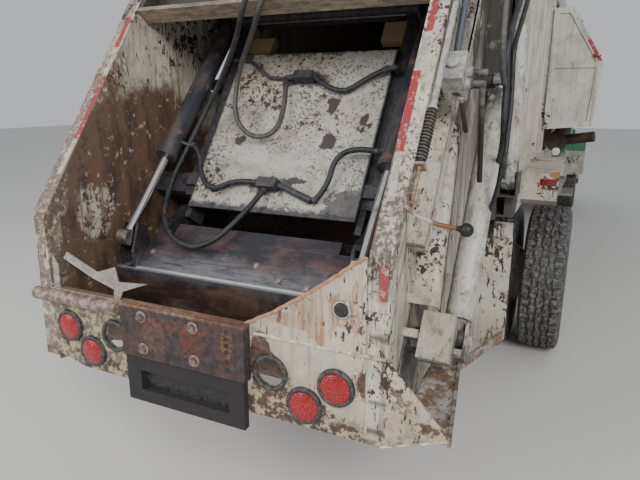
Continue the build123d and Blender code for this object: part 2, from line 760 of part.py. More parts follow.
def steering_knuckle(sign):
    """Forked knuckle on the kingpin, with its spindle."""
    x = sign * kingpin_x
    z = tyre_radius
    d = front_axle_station
    knuckle = block(*span(sign, kingpin_x - 50, kingpin_x + 85), d - 45, d + 45, z - 85, z + 85)
    knuckle -= block(*span(sign, kingpin_x - 51, kingpin_x + 56), d - 46, d + 46, z - 51, z + 51)
    knuckle -= bar((x, d, z - 90), (x, d, z + 90), kingpin_radius + kingpin_clearance)
    knuckle += bar((sign * (kingpin_x + 80), d, z), (sign * (front_tyre_outer_x - 110), d, z), 58)
    knuckle += block(*span(sign, kingpin_x - 30, kingpin_x + 60), d - 200, d - 40, z - 85, z - 62)
    return knuckle


# Tailgate
def tailgate_side(sign):
    """Side plate with its rear column, front post, stiffener and slide slot."""
    top_station = on_slide((tailgate_top - pivot_z - column_plane_n * sin_a) / cos_a, column_plane_n)[0]
    arc = []
    for angle in range(238, 325, 9):
        a = math.radians(angle)
        arc.append((pivot_station + (trough_radius + 14) * math.cos(a),
                    pivot_z + (trough_radius + 14) * math.sin(a)))
    outline = [(panel_wall, panel_bottom_z), (panel_wall, 1340), (top_station + 12, tailgate_top - 12),
               (tailgate_front, tailgate_top - 12), (tailgate_front, body_floor_z - 10),
               (1350, body_floor_z - 10)] + arc[::-1]
    wall = side_plate(outline, *span(sign, side_inner_x, side_inner_x + side_wall))
    rear_line = [(0, panel_bottom_z + 20), (knee_station, knee_z), (top_station, tailgate_top)]
    front_line = [(top_station + column_depth / cos_a, tailgate_top),
                  (knee_station + column_depth, knee_z - 20), (column_depth, panel_bottom_z + 20)]
    wall += side_plate(rear_line + front_line, *span(sign, side_inner_x, column_outer_x))
    wall += block(*span(sign, side_inner_x, lift_cylinder_x - 60), tailgate_front - 50, tailgate_front,
                  body_floor_z - 10, tailgate_top - 90)
    wall += slide_block(*span(sign, side_inner_x, 755), -120, 640, 190, 270)
    wall += slide_block(*span(sign, side_inner_x, 730), 740, 1500, 120, 170)
    slot_s0 = slide_eye_s - 40
    slot_s1 = slide_eye_s + carriage_stroke + 40
    wall -= slide_block(*span(sign, side_inner_x - 5, 740), slot_s0, slot_s1, slide_axis_n - 42,
                        slide_axis_n + 42)
    # Base ears of the slide cylinder
    for x in (slide_cylinder_x - 48, slide_cylinder_x + 38):
        wall += slide_block(*span(sign, x, x + 10), -420, -290, slide_axis_n - 45, slide_axis_n + 45)
    wall += slide_block(*span(sign, side_inner_x, slide_cylinder_x + 48), -430, -418, slide_axis_n - 45,
                        slide_axis_n + 45)
    pin_d, pin_z = on_slide(-350, slide_axis_n)
    wall += across(*span(sign, side_inner_x, slide_cylinder_x + 60), pin_d, pin_z, 20)
    # Ears of the lift cylinder's rod
    eye_d, eye_z = lift_eye
    wall += block(*span(sign, side_inner_x, lift_cylinder_x + 58), eye_d - 70, eye_d + 70, eye_z + 90,
                  eye_z + 140)
    for x in (lift_cylinder_x - 58, lift_cylinder_x + 46):
        wall += block(*span(sign, x, x + 12), eye_d - 60, eye_d + 60, eye_z - 50, eye_z + 91)
    # Lower rear facing plate with its cut corner, and the small block on it
    plate = [(side_inner_x, 1010), (side_inner_x, 760), (880, 690), (897, 680), (946, 690), (978, 731),
             (978, plate_top), (840, plate_top), (840, 1010)]
    wall += rear_plate([(sign * x, z) for x, z in plate], plate_station, plate_station + 10)
    wall += block(*span(sign, 900, 975), plate_station - 15, plate_station + 15, plate_top, plate_top + 60)
    return wall


plate_station = 1000
plate_top = 1210
mount_x = (755, 868)
mount_s = (-470, -300)
mount_n = (-10, 80)
mount_wall = 8
cover_s = (-280, 500)
cover_x = (800, 745)
cover_depth = 80
cover_radius = 30
cover_wall = 6


def cylinder_mount(sign):
    """Open box under the slide cylinder, bolted to the side by a web."""
    x0, x1 = mount_x
    s0, s1 = mount_s
    n0, n1 = mount_n
    box = slide_block(*span(sign, x0, x1), s0, s1, n0, n1)
    box -= slide_block(*span(sign, x0 + mount_wall, x1 - mount_wall), s0 + mount_wall, s1 - mount_wall,
                       n0 - 1, n1 - mount_wall)
    box += slide_block(*span(sign, side_inner_x + side_wall - 1, x0 + 1), s0 + 70, s0 + 100, n0 + 20, n1 - 20)
    return box


def rounded_wedge(x0, x_low, x_high, s0, s1, n0, n1, radius):
    """Block that narrows up the slide, with its outer rear edge rounded."""
    wedge = slide_plate([(x0, s0), (x_low, s0), (x_high, s1), (x0, s1)], n0, n1)
    slanted = wedge.edges().filter_by(lambda edge: edge.length > s1 - s0 + 1)
    return fillet(slanted.sort_by(Axis.Y)[0], radius)


def hose_cover():
    """Tapering cover over the pipes beside the right slide cylinder."""
    x0 = side_inner_x + side_wall - 1
    s0, s1 = cover_s
    low, high = cover_x
    cover = rounded_wedge(x0, low, high, s0, s1, 0, cover_depth, cover_radius)
    return cover - rounded_wedge(x0 - 1, low - cover_wall, high - cover_wall, s0 - 1, s1 + 1, -1,
                                 cover_depth - cover_wall, cover_radius - cover_wall)


def hopper_trough():
    """Curved floor of the hopper and the ramp up to the body."""
    x = side_inner_x
    ring = across(-x, x, pivot_station, pivot_z, trough_radius + 10)
    ring -= across(-x - 1, x + 1, pivot_station, pivot_z, trough_radius)
    keep = [(pivot_station, pivot_z), (-200, 977), (-200, 0), (pivot_station + 10, 0),
            (pivot_station + 1000, pivot_z - 1000 * math.tan(math.radians(slide_angle)))]
    trough = ring & side_plate(keep, -x, x)
    trough += slide_block(-x, x, -2, 300, -trough_radius - 10, -trough_radius)
    end_d, end_z = on_slide(300, -trough_radius)
    trough += block(-x, x, end_d - 6, tailgate_front, end_z - 12, end_z)
    trough += block(-x, x, panel_wall, 32, sill_z - 40, sill_z)
    return trough


def light_panel():
    """Rear panel with the lamps, its corner gusset and its wing."""
    left = -column_outer_x
    arc = ThreePointArc((672, 1348), (470, 1195), (234, sill_z))
    line = Polyline((234, sill_z), (left, sill_z), (left, 820), (-665, 768), (-530, panel_bottom_z),
                    (732, panel_bottom_z), (944, 815), (943, 825), (column_outer_x, 1035),
                    (column_outer_x, 1200), (679, 1200), (679, 1348), (672, 1348))
    face = make_face(Plane.XZ * (Curve() + arc + line))
    panel = Pos(0, panel_wall, 0) * extrude(face, panel_wall)
    # Round bar left on the rear of the sill
    panel += across(left + 20, sill_bar_end, 1 - sill_bar_radius, sill_z - 20, sill_bar_radius)
    for sign in (-1, 1):
        panel -= block(*span(sign, side_inner_x, column_outer_x), 0, panel_wall + 1, 755, 1400)
    for x, z in empty_places:
        panel -= bar((x, -1, z), (x, panel_wall + 1, z), lamp_radius)
    return panel


def tailgate_roof():
    """Roof, header beam, rear cover and hinge arms."""
    x = side_inner_x
    top_s = (tailgate_top - 12 - pivot_z - column_plane_n * sin_a) / cos_a
    roof_rear = on_slide(top_s, column_plane_n)[0]
    roof = block(-x, x, roof_rear, tailgate_front, tailgate_top - 12, tailgate_top)
    s0, s1 = header_s
    n0, n1 = column_plane_n - header_depth, column_plane_n
    roof += slide_block(-x, x, s0, s1, n0, n1)
    roof -= slide_block(-x + 30, x - 30, s0 + header_flange, s1 - header_flange, n0 + header_web, n1 + 1)
    for name in ("hose_long", "hose_wrapped"):
        roof += hose_fitting(name, 0, 12)
    roof += slide_block(-x, x, s1 - 10, top_s + 8, column_plane_n - 10, column_plane_n)
    roof += block(-x, x, tailgate_front - 50, tailgate_front, tailgate_top - 80, tailgate_top)
    for sign in (-1, 1):
        arm = side_plate([(1500, tailgate_top - 10), (hinge_station, hinge_z - 38),
                          (hinge_station + 30, hinge_z - 25), (hinge_station + 38, hinge_z),
                          (hinge_station + 20, hinge_z + 40), (1500, hinge_z + 40)],
                         *span(sign, 565, 595))
        arm -= block(*span(sign, 560, 600), 1400, hinge_station - 60, hinge_z - 200, tailgate_top - 6)
        roof += arm
        roof -= across(*span(sign, 560, 600), hinge_station, hinge_z, hinge_pin_radius + rod_clearance)
    return roof


sill_bar_end = -295
sill_bar_radius = 26
lamp_places = ((-585, 908), (-472, 818), (472, 818), (585, 908))
empty_places = ((-345, 908), (345, 908))
lamp_radius = 50
lamp_ring_radius = 66
lamp_ring_depth = 14
bracket_left = -272
bracket_right = 267
bracket_depth = 40
bracket_wall = 12
bracket_bottom = 866
bracket_top = 1070


def tail_lamps():
    """Round lamps in their rubber rings, and the two rings that have lost theirs."""
    lamps = []
    for x, z in lamp_places:
        ring = bar((x, 0, z), (x, -lamp_ring_depth, z), lamp_ring_radius)
        lamps.append(ring + bar((x, -lamp_ring_depth, z), (x, -lamp_ring_depth - 8, z), lamp_radius))
    for x, z in empty_places:
        ring = bar((x, 0, z), (x, -lamp_ring_depth, z), lamp_ring_radius)
        lamps.append(ring - bar((x, 1, z), (x, -lamp_ring_depth - 1, z), lamp_radius))
    return lamps


def sill_bracket():
    """Bolted bracket on the sill with the open frame below it."""
    x0, x1 = bracket_left, bracket_right
    plate = block(x0, x1, -bracket_depth, 0, bracket_bottom, bracket_top)
    plate -= block(x0 + bracket_wall, x1 - bracket_wall, bracket_wall - bracket_depth, 1, bracket_bottom - 1,
                   bracket_top - bracket_wall)
    frame = block(x0, x1 - 15, -bracket_depth + bracket_wall, 0, 675, bracket_bottom + 20)
    frame -= block(x0 + 65, x1 - 80, -bracket_depth, 1, 725, 805)
    plate += frame
    for x, z in ((-170, 1030), (60, 1030), (-170, 905), (60, 905)):
        plate += bar((x, -bracket_depth, z), (x, -bracket_depth - 14, z), 14)
    return plate


step_rail = ((978, plate_station - 1), (860, 620), (938, 90))
step_bottom = 732
step_height = 42
step_bar = 12
step_inner_x = column_outer_x + 7
grate_pitch = 44


def riding_step():
    """Grated step inside a bent rail, and the torn plates on the left sill."""
    plan = list(step_rail) + [(x - step_bar, d) for x, d in reversed(step_rail)]
    rail = extrude(make_face(Plane.XY * Polyline(*plan, close=True)), step_height, dir=(0, 0, 1))
    step = Pos(0, 0, step_bottom) * rail
    top = step_bottom + step_height
    front = step_rail[1][1]
    rear = step_rail[2][1]
    step += block(step_inner_x, step_inner_x + 8, rear, front, step_bottom, top)
    step += block(column_outer_x, step_inner_x + 1, 20, rear + 20, step_bottom, top)
    slope = (step_rail[2][0] - step_rail[1][0]) / (rear - front)
    for row in range(int((front - rear) / grate_pitch) + 1):
        station = rear + row * grate_pitch + 3
        reach = step_rail[1][0] + (station - front) * slope - step_bar / 2
        bearer = [(step_inner_x + 4, step_bottom + 8), (reach, step_bottom + 8), (reach, top - 8)]
        teeth = int((reach - step_inner_x - 4) / 26)
        for tooth in range(teeth):
            bearer += [(reach - tooth * 26 - 13, top), (reach - tooth * 26 - 26, top - 8)]
        bearer += [(step_inner_x + 4, top - 8)]
        step += rear_plate(bearer, station - 3, station + 3)
    torn = rear_plate([(-600, 1185), (-578, 1212), (-425, 1150), (-331, 1182), (-318, 1125), (-179, 1136),
                       (-300, 1090), (-320, sill_z), (-350, sill_z), (-345, 1092), (-450, 1122)],
                      panel_wall + 4, panel_wall + 9)
    lip = rear_plate([(-672, sill_z), (-640, sill_z), (-634, 1150), (-662, 1190)], panel_wall + 4, panel_wall + 9)
    return [step, torn, lip]


valve_x = (757, 833)
valve_s = (375, 484)
valve_n = (396, 520)
lever_path = ((757, 106, 1489), (789, 100, 1466), (834, 100, 1450), (858, 100, 1443), (915, 100, 1437))
lever_radius = 7
linkage_x = 766
linkage_n = 548
linkage_s = (-105, 30, 235, 700)
linkage_radii = (7, 14, 11)


def valve_controls():
    """Valve box lined up with the column, and the lever with its linkage."""
    x0, x1 = valve_x
    s0, s1 = valve_s
    n0, n1 = valve_n
    box = slide_block(x0, x1, s0, s1, n0, n1)
    box += slide_block(column_outer_x, x0 + 1, s0 + 8, s1 - 8, n1 - 18, n1)
    box += slide_bar((x0 + 36, s1 - 50, n1 - 1), (x0 + 36, s1 - 50, n1 + 14), 23)
    box -= slide_bar((x1 - 34, s0 - 1, n0 + 34), (x1 - 34, s0 + 14, n0 + 34), 16)
    for s in (s0 + 32, s0 + 78):
        # Pipe unions on the outer side
        box += slide_bar((x1 - 1, s, n0 + 50), (x1 + 20, s, n0 + 50), 19)
        box += slide_bar((x1 + 19, s, n0 + 50), (x1 + 62, s, n0 + 50), 11)
    # Two pipes from the unions down to the slide cylinder and into the cover
    box += slide_bar((x1 + 52, s0 + 32, n0 + 50), (x1 + 30, s0 - 130, 60), 10)
    box += slide_bar((x0 + 58, s0 + 1, n0 + 20), (x0 + 12, s0 + 108, 40), 10)
    lever = block(column_outer_x, x0, 112, 160, 1462, 1516)
    for start, end in zip(lever_path, lever_path[1:]):
        lever += bar(start, end, lever_radius) + Pos(*end) * Sphere(lever_radius)
    knob = Pos(*lever_path[-1]) * Rot(0, 94, 0) * Cone(lever_radius, 20, 22, align=(Align.CENTER, Align.CENTER, Align.MIN))
    lever += knob + Pos(lever_path[-1][0] + 24, lever_path[-1][1], lever_path[-1][2] - 2) * Sphere(20)
    low, hook, collar, high = linkage_s
    rod, guard, tube = linkage_radii
    lever += slide_bar((linkage_x, low, linkage_n), (linkage_x, hook, linkage_n), rod)
    lever += slide_bar((linkage_x, hook, linkage_n), (linkage_x, collar, linkage_n), guard)
    lever += slide_bar((linkage_x, collar, linkage_n), (linkage_x, high, linkage_n), tube)
    lever += slide_bar((linkage_x, collar - 8, linkage_n), (linkage_x, collar + 8, linkage_n), guard + 1)
    for s in (hook, high - 30):
        # Guides that hold the linkage to the column
        lever += slide_block(column_outer_x, linkage_x + 16, s - 6, s + 6, linkage_n - 26, linkage_n + 16)
    lever += slide_block(column_outer_x + 6, linkage_x, low - 14, low + 10, linkage_n - 14, linkage_n + 8)
    return [box, lever]


# Hoses, as (across, s, n) points on the slide
hose_points = {
    "hose_long": [(-30, 900, 522), (-40, 850, 605), (-65, 700, 615), (-190, 660, 430), (-370, 560, 235),
                  (-490, 310, 150), (-515, 90, 152), (-440, -140, 190), (-235, -245, 197), (-85, -130, 187),
                  (-33, 97, 121)],
    "hose_wrapped": [(45, 900, 522), (40, 850, 605), (20, 695, 615), (-130, 690, 420), (-275, 630, 250),
                     (-275, 430, 170), (-130, 330, 150), (-15, 420, 140), (-85, 655, 125)],
    "hose_upper": [(64, 693, 125), (200, 585, 125), (330, 700, 125), (385, 722, 130)],
    "hose_lower_left": [(-62, 135, 125), (-170, 150, 125), (-300, 75, 125), (-390, 170, 130), (-405, 245, 140),
                        (-455, 290, 150)],
    "hose_lower_right": [(228, 84, 118), (268, 138, 124), (275, 270, 145), (360, 315, 155), (455, 300, 160)],
}
fitting_gap = 0.3


def hose(name):
    """Hose of straight runs joined by arcs that touch them."""
    points = [Vector(*on_panel(*point)) for point in hose_points[name]]
    radii = []
    for before, at, after in zip(points, points[1:], points[2:]):
        half_turn = math.radians((at - before).get_angle(after - at)) / 2
        run = min((at - before).length, (after - at).length)
        radii.append(0.45 * run / math.tan(half_turn))
    print(name, "radii", [round(radius) for radius in radii])
    line = FilletPolyline(*points, radius=radii)
    section = Plane(origin=line @ 0, z_dir=line % 0) * Circle(hose_radius)
    return sweep(section, path=line)


def hose_fitting(name, end, extra=0):
    """Ferrule that carries on from an end of a hose: 0 for its start, -1 for its end."""
    points = hose_points[name]
    tip = Vector(*on_panel(*points[end]))
    inner = Vector(*on_panel(*points[1 if end == 0 else -2]))
    out = (tip - inner).normalized()
    far = tip + out * (fitting_length + extra)
    near = tip + out * fitting_gap
    return bar((near.X, near.Y, near.Z), (far.X, far.Y, far.Z), fitting_radius)


def hydraulic_blocks():
    """Two blocks on the panel with the ferrules and pipes that leave them."""
    face = panel_face_n - 1
    top = panel_face_n + 48
    upper = upper_block_s
    blocks = slide_block(-upper_block_half, upper_block_half, upper - 20, upper + 22, face, top)
    x0, x1 = lower_block_x
    low = lower_block_s
    blocks += slide_block(x0, x1, low - 23, low + 23, face, top)
    for name, end in (("hose_long", -1), ("hose_wrapped", -1), ("hose_upper", 0), ("hose_upper", -1),
                      ("hose_lower_left", 0)):
        blocks += hose_fitting(name, end)
    # Elbow from the wrapped hose into the upper block
    blocks += slide_bar((-93, upper - 20, 122), (-97, upper, 122), 14)
    blocks += slide_bar((-97, upper, 122), (-upper_block_half + 5, upper, 122), 14)
    # Pipe end of the upper hose, set on the side beam
    blocks += slide_bar((405, 728, 131), (440, 740, 131), 12)
    blocks += slide_bar((438, 739, 131), (438, 739, 60), 12)
    # Thin pipe from the beam to the upper block
    for start, end in (((-430, 815, 60), (-430, 815, 116)), ((-430, 815, 116), (-340, 810, 116)),
                       ((-340, 810, 116), (-190, 705, 116)), ((-190, 705, 116), (-45, 694, 116))):
        blocks += slide_bar(start, end, 8) + Pos(*on_panel(*end)) * Sphere(8)
    # Sleeve from the lower block to the elbow of the right hose
    blocks += slide_bar((x1 - 5, low, 118), (80, low - 14, 118), 13)
    blocks += slide_bar((80, low - 14, 118), (210, 74, 118), 15)
    blocks += hose_fitting("hose_lower_right", 0, -10)
    return blocks


# Packing mechanism
def carriage():
    """Sliding frame with its visible panel, cross tubes and outer shaft."""
    frame = slide_block(-panel_half, panel_half, 6, panel_top_s, panel_face_n - 10, panel_face_n)
    frame += slide_block(-470, 470, slide_eye_s - 50, slide_eye_s + 50, -108, 12)
    frame += slide_block(-665, 665, 1110, 1170, 10, 60)
    frame += across(-blade_cylinder_x + 55, blade_cylinder_x - 55, *blade_base, 30)
    frame += slide_block(-480, 480, 120, 180, 10, 92)
    shaft = on_slide(slide_eye_s, slide_axis_n)
    frame += across(-slide_cylinder_x - 34, slide_cylinder_x + 34, *shaft, 30)
    # Wear blocks on the inner faces of the side beams
    frame += slide_block(300, 412, 950, 1060, 12, 58)
    frame += slide_block(-412, -285, 905, 1000, 12, 58)
    frame += hydraulic_blocks()
    for sign in (-1, 1):
        # Ear plate that keeps the cylinder's eye on the shaft
        frame += across(*span(sign, slide_cylinder_x + 33, slide_cylinder_x + 41), *shaft, 40)
        frame += slide_block(*span(sign, panel_half - 10, panel_half), 6, panel_top_s, 8, panel_face_n)
        frame += slide_block(*span(sign, 410, 480), 76, 1140, 10, 70)
        frame += slide_block(*span(sign, 475, 665), 90, 190, 12, 68)
        # Ear for the blade hinge, with its pin
        frame += slide_block(*span(sign, 412, 440), -36, 90, -36, 66)
        frame += across(*span(sign, 414, 506), pivot_station, pivot_z, 24)
        # Clevis plates and pin of the blade cylinder
        for x in (blade_cylinder_x - 62, blade_cylinder_x + 50):
            frame += slide_block(*span(sign, x, x + 12), 1010, 1150, 40, 160)
        frame += across(*span(sign, blade_cylinder_x - 66, blade_cylinder_x + 66), *blade_base, 22)
    return frame


def from_pivot(points):
    """Stations and heights of points given from the blade's pivot."""
    return [(pivot_station + d, pivot_z + z) for d, z in points]


def packer_blade():
    """Sweep blade: a folded box from its hubs to its wear edge."""
    top_edge = (-160, -5)
    bend = (-340, -174)
    tip = (-335, -522)
    heel = (-295, -532)
    blade = side_plate(from_pivot([top_edge, bend, tip, heel, (-240, -270), (20, -62), (-110, -60)]),
                       -400, 400)
    blade += side_plate(from_pivot([(-200, -43), bend, tip, heel, (-240, -270), (-150, -190)]), -500, 500)
    blade += side_plate(from_pivot([bend, tip, heel, (-260, -290)]), -620, 620)
    for sign in (-1, 1):
        # Hub plate and boss round the pin
        hub = span(sign, 446, 500)
        blade += side_plate(from_pivot([(-35, 28), (-75, 12), top_edge, (-200, -43), (-170, -150), (20, -40)]),
                            *hub)
        blade += across(*hub, pivot_station, pivot_z, 48)
        blade -= across(*span(sign, 440, 510), pivot_station, pivot_z, 24 + rod_clearance)
        # Ears each side of the rod's eye
        for x in (500, 578):
            blade += side_plate(from_pivot([(-355, -100), (-310, 20), (-260, 0), (-220, -190), (-260, -290),
                                            (-339, -290)]), *span(sign, x, x + 12))
    return blade


def along(start, end, distance):
    """Point at a distance from start on the line to end."""
    line = Vector(0, *end) - Vector(0, *start)
    step = line.normalized() * distance
    return (start[0] + step.Y, start[1] + step.Z)


def barrel(x, base, tip, length, radius, rod_radius, eye_radius, pin_radius):
    """Cylinder tube with the eye at its base, bored for its rod."""
    end = along(base, tip, length)
    front = along(base, tip, 70)
    tube = bar((x, *front), (x, *end), radius)
    tube += bar((x, *along(base, tip, length - 30)), (x, *end), radius + 4)
    eye = across(x - 34, x + 34, *base, eye_radius)
    tube += eye + bar((x, *base), (x, *front), 30)
    tube -= bar((x, *along(base, tip, 100)), (x, *along(base, tip, length + 1)), rod_radius + rod_clearance)
    return tube - across(x - 40, x + 40, *base, pin_radius + rod_clearance)


def piston_rod(x, base, tip, start, rod_radius, eye_radius):
    """Rod from inside its tube to the eye at its tip."""
    rod = bar((x, *along(base, tip, start)), (x, *tip), rod_radius)
    return rod + across(x - 28, x + 28, *tip, eye_radius)


def slide_barrel(sign):
    base = on_slide(-350, slide_axis_n)
    tip = on_slide(slide_eye_s, slide_axis_n)
    return barrel(sign * slide_cylinder_x, base, tip, 1085, slide_cylinder_radius, slide_rod_radius, 38, 20)


def slide_rod(sign):
    base = on_slide(-350, slide_axis_n)
    tip = on_slide(slide_eye_s, slide_axis_n)
    return piston_rod_bored(sign * slide_cylinder_x, base, tip, 110, slide_rod_radius, 42, 30)


def piston_rod_bored(x, base, tip, start, rod_radius, eye_radius, bore):
    """Rod whose eye is bored for a shaft of the same body."""
    rod = bar((x, *along(base, tip, start)), (x, *tip), rod_radius)
    rod += across(x - 28, x + 28, *tip, eye_radius)
    return rod - across(x - 40, x + 40, *tip, bore)


def blade_barrel(sign):
    """Blade cylinder with the pipe from its hose's ferrule to its port."""
    tube = barrel(sign * blade_cylinder_x, blade_base, blade_eye, 901, blade_cylinder_radius,
                  blade_rod_radius, 38, 22)
    name = "hose_lower_right" if sign > 0 else "hose_lower_left"
    x, s, n = hose_points[name][-1]
    port_d, port_z = along(blade_base, blade_eye, port_along)
    port = (sign * (blade_cylinder_x - blade_cylinder_radius + 12), port_d, port_z)
    elbow = on_panel(x + sign * 14, s, n)
    tube += bar(elbow, port, port_radius)
    tube += Pos(*elbow) * Sphere(port_radius + 4)
    return tube + hose_fitting(name, -1, -12)


def blade_rod(sign):
    return piston_rod(sign * blade_cylinder_x, blade_base, blade_eye, 480, blade_rod_radius, 36)


def lift_barrel(sign):
    return barrel(sign * lift_cylinder_x, lift_base, lift_eye, 1030, lift_cylinder_radius, lift_rod_radius,
                  34, lift_pin_radius)


def lift_rod(sign):
    return piston_rod(sign * lift_cylinder_x, lift_base, lift_eye, 430, lift_rod_radius, 34)


save("chassis_frame", chassis_frame())
save("front_axle", front_axle())
save("rear_axle", rear_axle())
save("engine_block", engine_block())
save("front_bumper", front_bumper())
save("fuel_tank", *fuel_tank())
save("exhaust_pipe", exhaust_pipe())
save("fenders", *both(rear_fender), *both(front_fender_end))
save("body_floor", body_floor())
save("body_roof", body_roof())
save("body_front_wall", body_front_wall())
save("body_rear_frame", body_rear_frame())
save("ejector_panel", ejector_panel())
save("cab_floor", cab_floor())
save("cab_back_wall", cab_back_wall())
save("cab_roof", cab_roof())
save("cab_front_frame", cab_front_frame())
save("cab_glass", *cab_glass())
save("cab_interior", *both(seat), dashboard())
save("hood", hood())
save("grille", grille())
save("headlamps", *headlamps())
for name, sign in sides:
    save(f"body_side_{name}", body_side(sign))
    save(f"side_bin_{name}", side_bin(sign))
    save(f"bin_lid_{name}", bin_lid(sign))
    save(f"cab_door_{name}", cab_door(sign))
    save(f"door_glass_{name}", door_glass(sign))
    save(f"steering_knuckle_{name}", steering_knuckle(sign))
    save(f"front_wheel_{name}", *front_wheel(sign))
    save(f"rear_wheels_{name}", *rear_wheel(sign))
    extras = [cylinder_mount(sign)] + ([hose_cover()] if sign > 0 else [])
    save(f"tailgate_side_{name}", tailgate_side(sign).fuse(*extras))
save("hopper_trough", hopper_trough())
save("light_panel", light_panel())
save("tailgate_roof", tailgate_roof())
save("tail_lamps", *tail_lamps())
save("sill_bracket", sill_bracket())
save("riding_step", *riding_step())
save("valve_controls", *valve_controls())
for name in hose_points:
    save(name, hose(name))
save("carriage", carriage())
save("packer_blade", packer_blade())
save("slide_cylinders", *both(slide_barrel))
save("slide_rods", *both(slide_rod))
save("blade_cylinders", *both(blade_barrel))
save("blade_rods", *both(blade_rod))
save("lift_cylinders", *both(lift_barrel))
save("lift_rods", *both(lift_rod))
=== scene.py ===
import bmesh
import bpy
import math
import numpy as np
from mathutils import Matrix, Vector


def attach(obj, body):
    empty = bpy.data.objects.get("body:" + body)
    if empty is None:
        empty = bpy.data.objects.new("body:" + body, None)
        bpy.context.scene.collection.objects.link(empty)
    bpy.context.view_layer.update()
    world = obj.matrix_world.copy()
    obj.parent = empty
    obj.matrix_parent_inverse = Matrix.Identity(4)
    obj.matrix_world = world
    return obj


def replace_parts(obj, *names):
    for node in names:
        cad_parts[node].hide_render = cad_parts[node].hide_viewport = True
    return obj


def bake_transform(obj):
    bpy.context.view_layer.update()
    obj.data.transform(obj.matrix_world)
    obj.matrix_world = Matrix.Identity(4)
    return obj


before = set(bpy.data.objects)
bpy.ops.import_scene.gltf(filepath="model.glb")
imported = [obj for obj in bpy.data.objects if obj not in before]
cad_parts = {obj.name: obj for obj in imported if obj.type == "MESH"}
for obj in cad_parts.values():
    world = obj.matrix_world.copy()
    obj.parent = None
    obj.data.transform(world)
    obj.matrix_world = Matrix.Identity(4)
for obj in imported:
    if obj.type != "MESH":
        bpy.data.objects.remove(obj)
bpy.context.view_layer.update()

# Stations in this script are metres forward of the rear light panel, as on a drawing of the tailgate.
# Points on the packer's slide are (across, up the slide, rearwards off it) from the blade's pivot.
lightPanelY = -4.67
slideAngle = math.radians(36)
pivotStation = 0.64
pivotHeight = 1.25
slideUp = np.array([0, math.sin(slideAngle), math.cos(slideAngle)])
slideOut = np.array([0, -math.cos(slideAngle), math.sin(slideAngle)])
rearwards = np.array([0.0, -1.0, 0.0])
outwards = np.array([1.0, 0.0, 0.0])
upwards = np.array([0.0, 0.0, 1.0])


def place(x, station, height):  # a station point as a point of the frame
    return (x, station + lightPanelY, height)


def onSlide(x, up, out):  # a slide point as a point of the frame
    pivot = np.array(place(0, pivotStation, pivotHeight))
    return pivot + np.array([x, 0, 0]) + up * slideUp + out * slideOut


cameraSettings = {
    "station": (1.21, -1.44, 1.8),
    "yaw": 25.3,       # degrees to the left of straight ahead
    "pitch": 14.6,     # degrees down
    "roll": 0.1,
    "focalPixels": 550.0,
    "imageWidth": 640.0,
    "sensor": 36.0,
}


def addObject(name, data):
    thing = bpy.data.objects.new(name, data)
    bpy.context.scene.collection.objects.link(thing)
    return thing


def addCamera(settings):
    data = bpy.data.cameras.new("photoCamera")
    data.sensor_width = settings["sensor"]
    data.lens = settings["focalPixels"] / settings["imageWidth"] * settings["sensor"]
    camera = addObject("photoCamera", data)
    camera.location = place(*settings["station"])
    camera.rotation_mode = "XYZ"
    camera.rotation_euler = (math.radians(90 - settings["pitch"]), math.radians(settings["roll"]),
                             math.radians(settings["yaw"]))
    bpy.context.scene.camera = camera


addCamera(cameraSettings)
print("camera ready")

# Materials. Every pattern reads Object coordinates in metres. A Field is the output of a shader node, and
# sums, differences and products of fields are nodes too.


class Field:
    def __init__(self, socket):
        self.socket = socket

    def __add__(self, other):
        return mathOf("ADD", self, other)

    def __sub__(self, other):
        return mathOf("SUBTRACT", self, other)

    def __rsub__(self, other):
        return mathOf("SUBTRACT", other, self)

    def __mul__(self, other):
        return mathOf("MULTIPLY", self, other)

    def __abs__(self):
        return mathOf("ABSOLUTE", self)


def feed(socket, value):  # value is a field, a number, a vector or a colour without alpha
    if isinstance(value, Field):
        socket.id_data.links.new(value.socket, socket)
    else:
        socket.default_value = (*value, 1) if socket.type == "RGBA" else value


def addNode(source, kind, inputs):  # source is any field of the same material
    node = source.socket.id_data.nodes.new("ShaderNode" + kind)
    for key, value in inputs.items():
        feed(node.inputs[key], value)
    return node


def mathOf(operation, first, second=0.0):
    node = addNode(first if isinstance(first, Field) else second, "Math", {0: first, 1: second})
    node.operation = operation
    return Field(node.outputs[0])


def maxOf(first, *others):
    for other in others:
        first = mathOf("MAXIMUM", first, other)
    return first


def mapped(vector, scale=(1, 1, 1), shift=(0, 0, 0), turn=(0, 0, 0)):
    values = {"Vector": vector, "Scale": scale, "Location": shift, "Rotation": turn}
    return Field(addNode(vector, "Mapping", values).outputs[0])


def stationsOf(coords):  # (across, station, height)
    return mapped(coords, shift=(0, -lightPanelY, 0))


def slideOf(coords):  # (across, up the slide, off it)
    pivot = np.array(place(0, pivotStation, pivotHeight))
    shift = (0, -float(pivot @ slideUp), -float(pivot @ slideOut))
    return mapped(coords, shift=shift, turn=(slideAngle - math.pi / 2, 0, 0))


def noiseOf(vector, scale, detail=4, roughness=0.55, distortion=0):
    values = {"Vector": vector, "Scale": scale, "Detail": detail, "Roughness": roughness,
              "Distortion": distortion}
    return Field(addNode(vector, "TexNoise", values).outputs["Fac"])


def cellsOf(vector, scale, feature="F1"):
    node = addNode(vector, "TexVoronoi", {"Vector": vector, "Scale": scale})
    node.feature = feature
    return Field(node.outputs["Distance"])


def rampOf(value, low, high):  # 0 at low, 1 at high; low above high turns it round
    values = {"Value": value, "From Min": min(low, high), "From Max": max(low, high),
              "To Min": 0.0 if low < high else 1.0, "To Max": 1.0 if low < high else 0.0}
    node = addNode(value, "MapRange", values)
    node.interpolation_type = "SMOOTHSTEP"
    return Field(node.outputs["Result"])


def bandOf(value, low, high, soft=0.004):  # 1 between low and high
    return rampOf(value, low - soft, low + soft) * rampOf(value, high + soft, high - soft)


